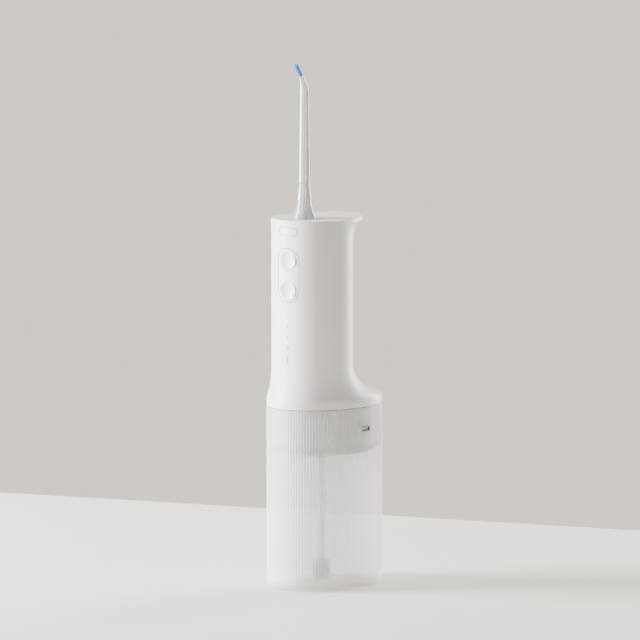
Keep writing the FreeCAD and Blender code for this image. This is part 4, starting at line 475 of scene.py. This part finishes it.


# ---------------------------------------------------------------- painted shade: dark strips in the gaps and round the catch windows
# The profiles and CATCH_SHADE_CORNER are in mm.

HANDLE_RADIUS = 22.15 * MM
HANDLE_Y = -11.0 * MM
# The gap strips are painted shade: dark bands for the shadow in the gaps round the button panel
# and the release button.
GAP_SHADE_STEPS = 96
GAP_SHADE_PROUD = 0.015 * MM
GAP_SHADE_THICK = 0.35 * MM
PANEL_SHADE_GAP = 0.01 * MM
PANEL_SHADE_WIDTH = 0.34 * MM
RELEASE_SHADE_HALF_WIDTH = 5.82 * MM
RELEASE_SHADE_HALF_HEIGHT = 2.12 * MM
RELEASE_SHADE_WIDTH = 0.30 * MM
# The skirt ring is painted shade: a dark band for the shadow in the seam between handle and tank.
SKIRT_SHADE_STEPS = 160
SKIRT_SHADE_PROFILE = ((0.16, 99.0), (0.16, 98.76), (1.7, 98.76), (1.7, 99.0))
# The window frames are painted shade: dark bands for the shadow round the catches in the tank's
# side windows.
CATCH_SHADE_STEPS = 96
CATCH_SHADE_CORNER = 0.7
CATCH_SHADE_PROFILE = ((3.78, 1.48, 1.0), (3.78, 1.48, 0.06), (3.36, 1.06, 0.06), (3.36, 1.06, 1.0))


def pill_point(half_width, half_height, radius, angle):
    """A point at an angle on a rounded outline whose corners have the radius."""
    x = radius * math.cos(angle) + math.copysign(half_width - radius, math.cos(angle))
    z = radius * math.sin(angle) + math.copysign(half_height - radius, math.sin(angle))
    return x, z


def gap_shade_strip(name, half_width, half_height, middle, width):
    """A thin near-black strip round a pill-shaped piece, a hair proud of the handle's face:
    painted shade for the shadow in the gap.
    """
    vertices = []
    for grow, sunk in ((0.0, GAP_SHADE_THICK - GAP_SHADE_PROUD), (0.0, -GAP_SHADE_PROUD),
                       (width, -GAP_SHADE_PROUD), (width, GAP_SHADE_THICK - GAP_SHADE_PROUD)):
        radius = min(half_width + grow, half_height + grow)
        for step in range(GAP_SHADE_STEPS):
            angle = 2 * math.pi * (step + 0.5) / GAP_SHADE_STEPS
            x, z = pill_point(half_width + grow, half_height + grow, radius, angle)
            y = HANDLE_Y - math.sqrt((HANDLE_RADIUS - sunk) ** 2 - x * x)
            vertices.append((x, y, middle + z))
    faces = looped_faces(4, GAP_SHADE_STEPS)
    return add_piece(name, vertices, faces, painted_gap_shade, "handle")


def skirt_seam_shade():
    """A near-black ring under the handle's skirt: painted shade for the shadow in the seam to the
    tank.
    """
    vertices = []
    for inset, z in SKIRT_SHADE_PROFILE:
        for step in range(SKIRT_SHADE_STEPS):
            angle = 2 * math.pi * step / SKIRT_SHADE_STEPS
            vertices.append(((HALF_WIDTH - inset * MM) * math.cos(angle),
                             (HALF_DEPTH - inset * MM) * math.sin(angle), z * MM))
    faces = looped_faces(len(SKIRT_SHADE_PROFILE), SKIRT_SHADE_STEPS)
    return add_piece("skirt_seam_shade", vertices, faces, gasket_rubber_and_painted_shade, "handle")


def catch_window_shade(name, side):
    """A near-black frame let into the tank's side window, in front of the catch: painted shade for
    the shadow on the window's cut wall.
    """
    vertices = []
    for half_width, half_height, sunk in CATCH_SHADE_PROFILE:
        for step in range(CATCH_SHADE_STEPS):
            angle = 2 * math.pi * (step + 0.5) / CATCH_SHADE_STEPS
            y, z = pill_point(half_width, half_height, CATCH_SHADE_CORNER, angle)
            surface = HALF_WIDTH * math.sqrt(1 - (y * MM / HALF_DEPTH) ** 2)
            vertices.append((side * (surface - sunk * MM), y * MM, WINDOW_Z + z * MM))
    faces = looped_faces(len(CATCH_SHADE_PROFILE), CATCH_SHADE_STEPS)
    return add_piece(name, vertices, faces, gasket_rubber_and_painted_shade, "tank")


panel_low, panel_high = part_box("button_panel")
release_low, release_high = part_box("release_button")
gap_shade_strip("panel_gap_shade_strip", (panel_high[0] - panel_low[0]) / 2 + PANEL_SHADE_GAP,
        (panel_high[2] - panel_low[2]) / 2 + PANEL_SHADE_GAP, (panel_low[2] + panel_high[2]) / 2,
        PANEL_SHADE_WIDTH)
gap_shade_strip("release_gap_shade_strip", RELEASE_SHADE_HALF_WIDTH, RELEASE_SHADE_HALF_HEIGHT,
        (release_low[2] + release_high[2]) / 2, RELEASE_SHADE_WIDTH)
skirt_seam_shade()
catch_window_shade("catch_window_shade_left", -1)
catch_window_shade("catch_window_shade_right", 1)


# ---------------------------------------------------------------- nozzle
# Heights above the table and radii are in mm where MM isn't part of the line.

TUBE_STEPS = 48
BELL_FOOT = 200.0 * MM
BEND_START = BELL_FOOT + 68.5 * MM
BEND_RADIUS = 17.0 * MM
BEND_ANGLE = math.radians(37)
BEND_LENGTH = BEND_ANGLE * BEND_RADIUS
BEND_STEPS = 12
BORE = 0.75 * MM
STEM_PROFILE = ((184.0, 2.6), (184.25, 2.9), (186.45, 2.9), (186.5, 2.2), (187.5, 2.2),
                (187.55, 2.9), (199.9, 2.9), (200.0, 3.2))
BELL_PROFILE = ((200.0, 6.3), (200.15, 6.52), (200.4, 6.6), (201.6, 6.6), (202.4, 6.5))
TRUMPET_FOOT = 202.4
TRUMPET_HEIGHT = 10.0
TRUMPET_FLARE = 2.78
TRUMPET_CURVE = 1.9
TRUMPET_STEPS = 14
NECK_FOOT = 212.4
NECK_HEIGHT = 6.1
NECK_RADIUS = 3.72
NECK_TAPER = 0.55
NECK_CURVE = 1.3
NECK_STEPS = 8
TUBE_FOOT = 218.65
TUBE_FOOT_RADIUS = 3.04
TUBE_FOOT_EDGE = 3.06
TUBE_TAPER = 0.67
TUBE_RINGS = 20
BEND_START_RADIUS = 2.37
BEND_END_RADIUS = 1.42
TIP_SEAT_RADIUS = 1.05
TIP_SEAT_STEP = 0.02
TIP_SEAT_LENGTH = 3.0
BORE_FOOT = 184.0
BORE_FOOT_MARGIN = 184.2
BORE_STEP_BENT = 1.2 * MM
BORE_STEP_STRAIGHT = 9 * MM
NOZZLE_SHARP_ANGLE = 38
POCKET_STEPS = 12
POCKET_PROFILE = ((199.0, 5.75), (201.2, 5.75), (202.5, 5.45), (204.0, 4.5), (206.0, 3.75),
                  (208.5, 3.25), (211.0, 3.0))
FIN_HALF = 0.5
CORE_RADIUS = 2.1
CORE_MARGIN = 0.35


def tube_place(height):
    """Centre and direction of the tube at a length measured up its middle."""
    if height <= BEND_START:
        return Vector((0, NOZZLE_Y, height)), Vector((0, 0, 1))
    angle = min(BEND_ANGLE, (height - BEND_START) / BEND_RADIUS)
    centre = Vector((0, NOZZLE_Y - BEND_RADIUS * (1 - math.cos(angle)),
                     BEND_START + BEND_RADIUS * math.sin(angle)))
    along = Vector((0, -math.sin(angle), math.cos(angle)))
    beyond = height - BEND_START - BEND_LENGTH
    if beyond > 0:
        centre += along * beyond
    return centre, along


def tube_ring(height, radius):
    centre, along = tube_place(height)
    side = Vector((1, 0, 0))
    other = along.cross(side)
    ring = []
    for step in range(TUBE_STEPS):
        angle = 2 * math.pi * step / TUBE_STEPS
        ring.append(centre + side * radius * math.cos(angle) + other * radius * math.sin(angle))
    return ring


def eased(start, end, share):
    return start + (end - start) * share * share * (3 - 2 * share)


def nozzle_stations():
    """The clear part from its stem, up the trumpet and the taper, round the bend."""
    stations = [(height * MM, radius * MM) for height, radius in STEM_PROFILE + BELL_PROFILE]
    for step in range(1, TRUMPET_STEPS + 1):
        share = step / TRUMPET_STEPS
        radius = NECK_RADIUS + TRUMPET_FLARE * (1 - share) ** TRUMPET_CURVE
        stations.append(((TRUMPET_FOOT + TRUMPET_HEIGHT * share) * MM, radius * MM))
    for step in range(1, NECK_STEPS + 1):
        share = step / NECK_STEPS
        radius = NECK_RADIUS - NECK_TAPER * share ** NECK_CURVE
        stations.append(((NECK_FOOT + NECK_HEIGHT * share) * MM, radius * MM))
    stations.append((TUBE_FOOT * MM, TUBE_FOOT_EDGE * MM))
    for step in range(1, TUBE_RINGS + 1):
        share = step / TUBE_RINGS
        stations.append((TUBE_FOOT * MM + (BEND_START - TUBE_FOOT * MM) * share,
                         (TUBE_FOOT_RADIUS - TUBE_TAPER * share) * MM))
    for step in range(1, BEND_STEPS + 1):
        share = step / BEND_STEPS
        radius = eased(BEND_START_RADIUS, BEND_END_RADIUS, share)
        stations.append((BEND_START + BEND_LENGTH * share, radius * MM))
    end = BEND_START + BEND_LENGTH
    stations.append((end + TIP_SEAT_STEP * MM, TIP_SEAT_RADIUS * MM))
    stations.append((end + TIP_SEAT_LENGTH * MM, TIP_SEAT_RADIUS * MM))
    return stations


def bore_heights(top):
    """Heights of the bore's rings, from the tip down; they are closer round the bend."""
    heights = [top]
    while heights[-1] > BORE_FOOT_MARGIN * MM:
        fall = BORE_STEP_BENT if heights[-1] > BEND_START else BORE_STEP_STRAIGHT
        heights.append(max(BORE_FOOT * MM, heights[-1] - fall))
    return heights


def nozzle_mesh():
    stations = nozzle_stations()
    stations += [(height, BORE) for height in bore_heights(stations[-1][0])]
    vertices = []
    for height, radius in stations:
        vertices.extend(tube_ring(height, radius))
    return vertices, looped_faces(len(stations), TUBE_STEPS)


def arc(radius, steps):
    """A quarter arc round the corner where two fins meet."""
    points = []
    for step in steps:
        angle = math.pi / 2 * step / POCKET_STEPS
        points.append((FIN_HALF + (radius - FIN_HALF) * math.cos(angle),
                       FIN_HALF + (radius - FIN_HALF) * math.sin(angle)))
    return points


def pocket_cutter(turn):
    """One of the four pockets between the fins under the trumpet."""
    spin = math.radians(turn)
    vertices = []
    for height, radius in POCKET_PROFILE:
        core = min(CORE_RADIUS, radius - CORE_MARGIN)
        ring = arc(radius, range(POCKET_STEPS + 1)) + arc(core, range(POCKET_STEPS, -1, -1))
        for x, y in ring:
            vertices.append((MM * (x * math.cos(spin) - y * math.sin(spin)),
                             NOZZLE_Y + MM * (x * math.sin(spin) + y * math.cos(spin)),
                             MM * height))
    faces = ring_faces(len(POCKET_PROFILE), 2 * (POCKET_STEPS + 1))
    return make_cutter("pocket_cutter", vertices, faces, nozzle_plastic)


nozzle_vertices, nozzle_faces = nozzle_mesh()
nozzle = add_piece("nozzle_clear_tube", nozzle_vertices, nozzle_faces, nozzle_plastic, "nozzle",
                   ["nozzle_tube"])
face_outward(nozzle.data)
cut(nozzle, [pocket_cutter(45 + 90 * quarter) for quarter in range(4)])
smooth_by_angle(nozzle, NOZZLE_SHARP_ANGLE)


# ---------------------------------------------------------------- stage, light and camera

AZIMUTH = math.radians(37)
ELEVATION = math.radians(7.1)
DISTANCE = 4.2
AIM_RIGHT = -0.00244
AIM_HEIGHT = 0.144
LENS = 436
SENSOR = 36
CLIP_END = 100
LAMP_AIM = Vector((0, 0, 0.14))
FLOOR_HALF = 3.0
FLOOR_BEHIND = 0.26
FLOOR_TURN = math.radians(22)
BACKDROP_COLOUR = (0.84, 0.745, 0.66, 1)
BACKDROP_STRENGTH = 1.55
FILL_COLOUR = (0.72, 0.69, 0.66, 1)
FILL_STRENGTH = 0.44
UP = Vector((0, 0, 1))

right = Vector((math.cos(AZIMUTH), math.sin(AZIMUTH), 0))
ahead = Vector((-math.sin(AZIMUTH), math.cos(AZIMUTH), 0))


def add_floor():
    """A pale floor whose far edge passes a little behind the object."""
    edge = right * math.cos(FLOOR_TURN) - ahead * math.sin(FLOOR_TURN)
    inward = right * -math.sin(FLOOR_TURN) - ahead * math.cos(FLOOR_TURN)
    far = ahead * FLOOR_BEHIND
    corners = [far - edge * FLOOR_HALF, far + edge * FLOOR_HALF,
               far + edge * FLOOR_HALF + inward * 2 * FLOOR_HALF,
               far - edge * FLOOR_HALF + inward * 2 * FLOOR_HALF]
    mesh = bpy.data.meshes.new("floor")
    mesh.from_pydata(corners, [], [(3, 2, 1, 0)])
    mesh.materials.append(moulded("floor_pale", (0.86, 0.80, 0.735), 0.6, grain=400))
    for face in mesh.polygons:
        face.use_smooth = True
    floor = bpy.data.objects.new("floor", mesh)
    scene.collection.objects.link(floor)


def add_camera():
    aim = right * AIM_RIGHT + UP * AIM_HEIGHT
    camera_data = bpy.data.cameras.new("camera")
    camera_data.lens = LENS
    camera_data.sensor_width = SENSOR
    camera_data.clip_end = CLIP_END
    camera = bpy.data.objects.new("camera", camera_data)
    scene.collection.objects.link(camera)
    camera.location = (aim - ahead * DISTANCE * math.cos(ELEVATION)
                       + UP * DISTANCE * math.sin(ELEVATION))
    camera.rotation_euler = (aim - camera.location).to_track_quat("-Z", "Y").to_euler()
    scene.camera = camera


def soft_light(name, side, back, height, width, tall, power, colour):
    """A soft lamp, placed from the camera: to the right, away from it, and up."""
    data = bpy.data.lights.new(name, "AREA")
    data.shape = "RECTANGLE"
    data.size = width
    data.size_y = tall
    data.energy = power
    data.color = colour
    lamp = bpy.data.objects.new(name, data)
    scene.collection.objects.link(lamp)
    place = right * side + ahead * back + UP * height
    lamp.location = place
    lamp.rotation_euler = (LAMP_AIM - place).to_track_quat("-Z", "Y").to_euler()


def add_world():
    """A soft even fill on the object, and a plain pale backdrop for the camera."""
    world = bpy.data.worlds.new("studio")
    scene.world = world
    world.use_nodes = True
    sky = world.node_tree
    backdrop = sky.nodes["Background"]
    backdrop.inputs["Color"].default_value = BACKDROP_COLOUR
    backdrop.inputs["Strength"].default_value = BACKDROP_STRENGTH
    fill = sky.nodes.new("ShaderNodeBackground")
    fill.inputs["Color"].default_value = FILL_COLOUR
    fill.inputs["Strength"].default_value = FILL_STRENGTH
    path = sky.nodes.new("ShaderNodeLightPath")
    choice = sky.nodes.new("ShaderNodeMixShader")
    sky.links.new(path.outputs["Is Camera Ray"], choice.inputs["Fac"])
    sky.links.new(fill.outputs["Background"], choice.inputs[1])
    sky.links.new(backdrop.outputs["Background"], choice.inputs[2])
    sky.links.new(choice.outputs["Shader"], sky.nodes["World Output"].inputs["Surface"])


add_floor()
add_camera()
soft_light("key_left", side=-1.25, back=0.0, height=0.45, width=0.6, tall=1.0, power=108,
           colour=(1.0, 0.985, 0.965))
soft_light("rim_right", side=1.0, back=1.0, height=0.4, width=0.5, tall=1.1, power=42,
           colour=(1.0, 0.98, 0.96))
soft_light("top_soft", side=0.0, back=0.6, height=1.5, width=1.2, tall=1.2, power=18,
           colour=(1.0, 0.99, 0.98))
add_world()
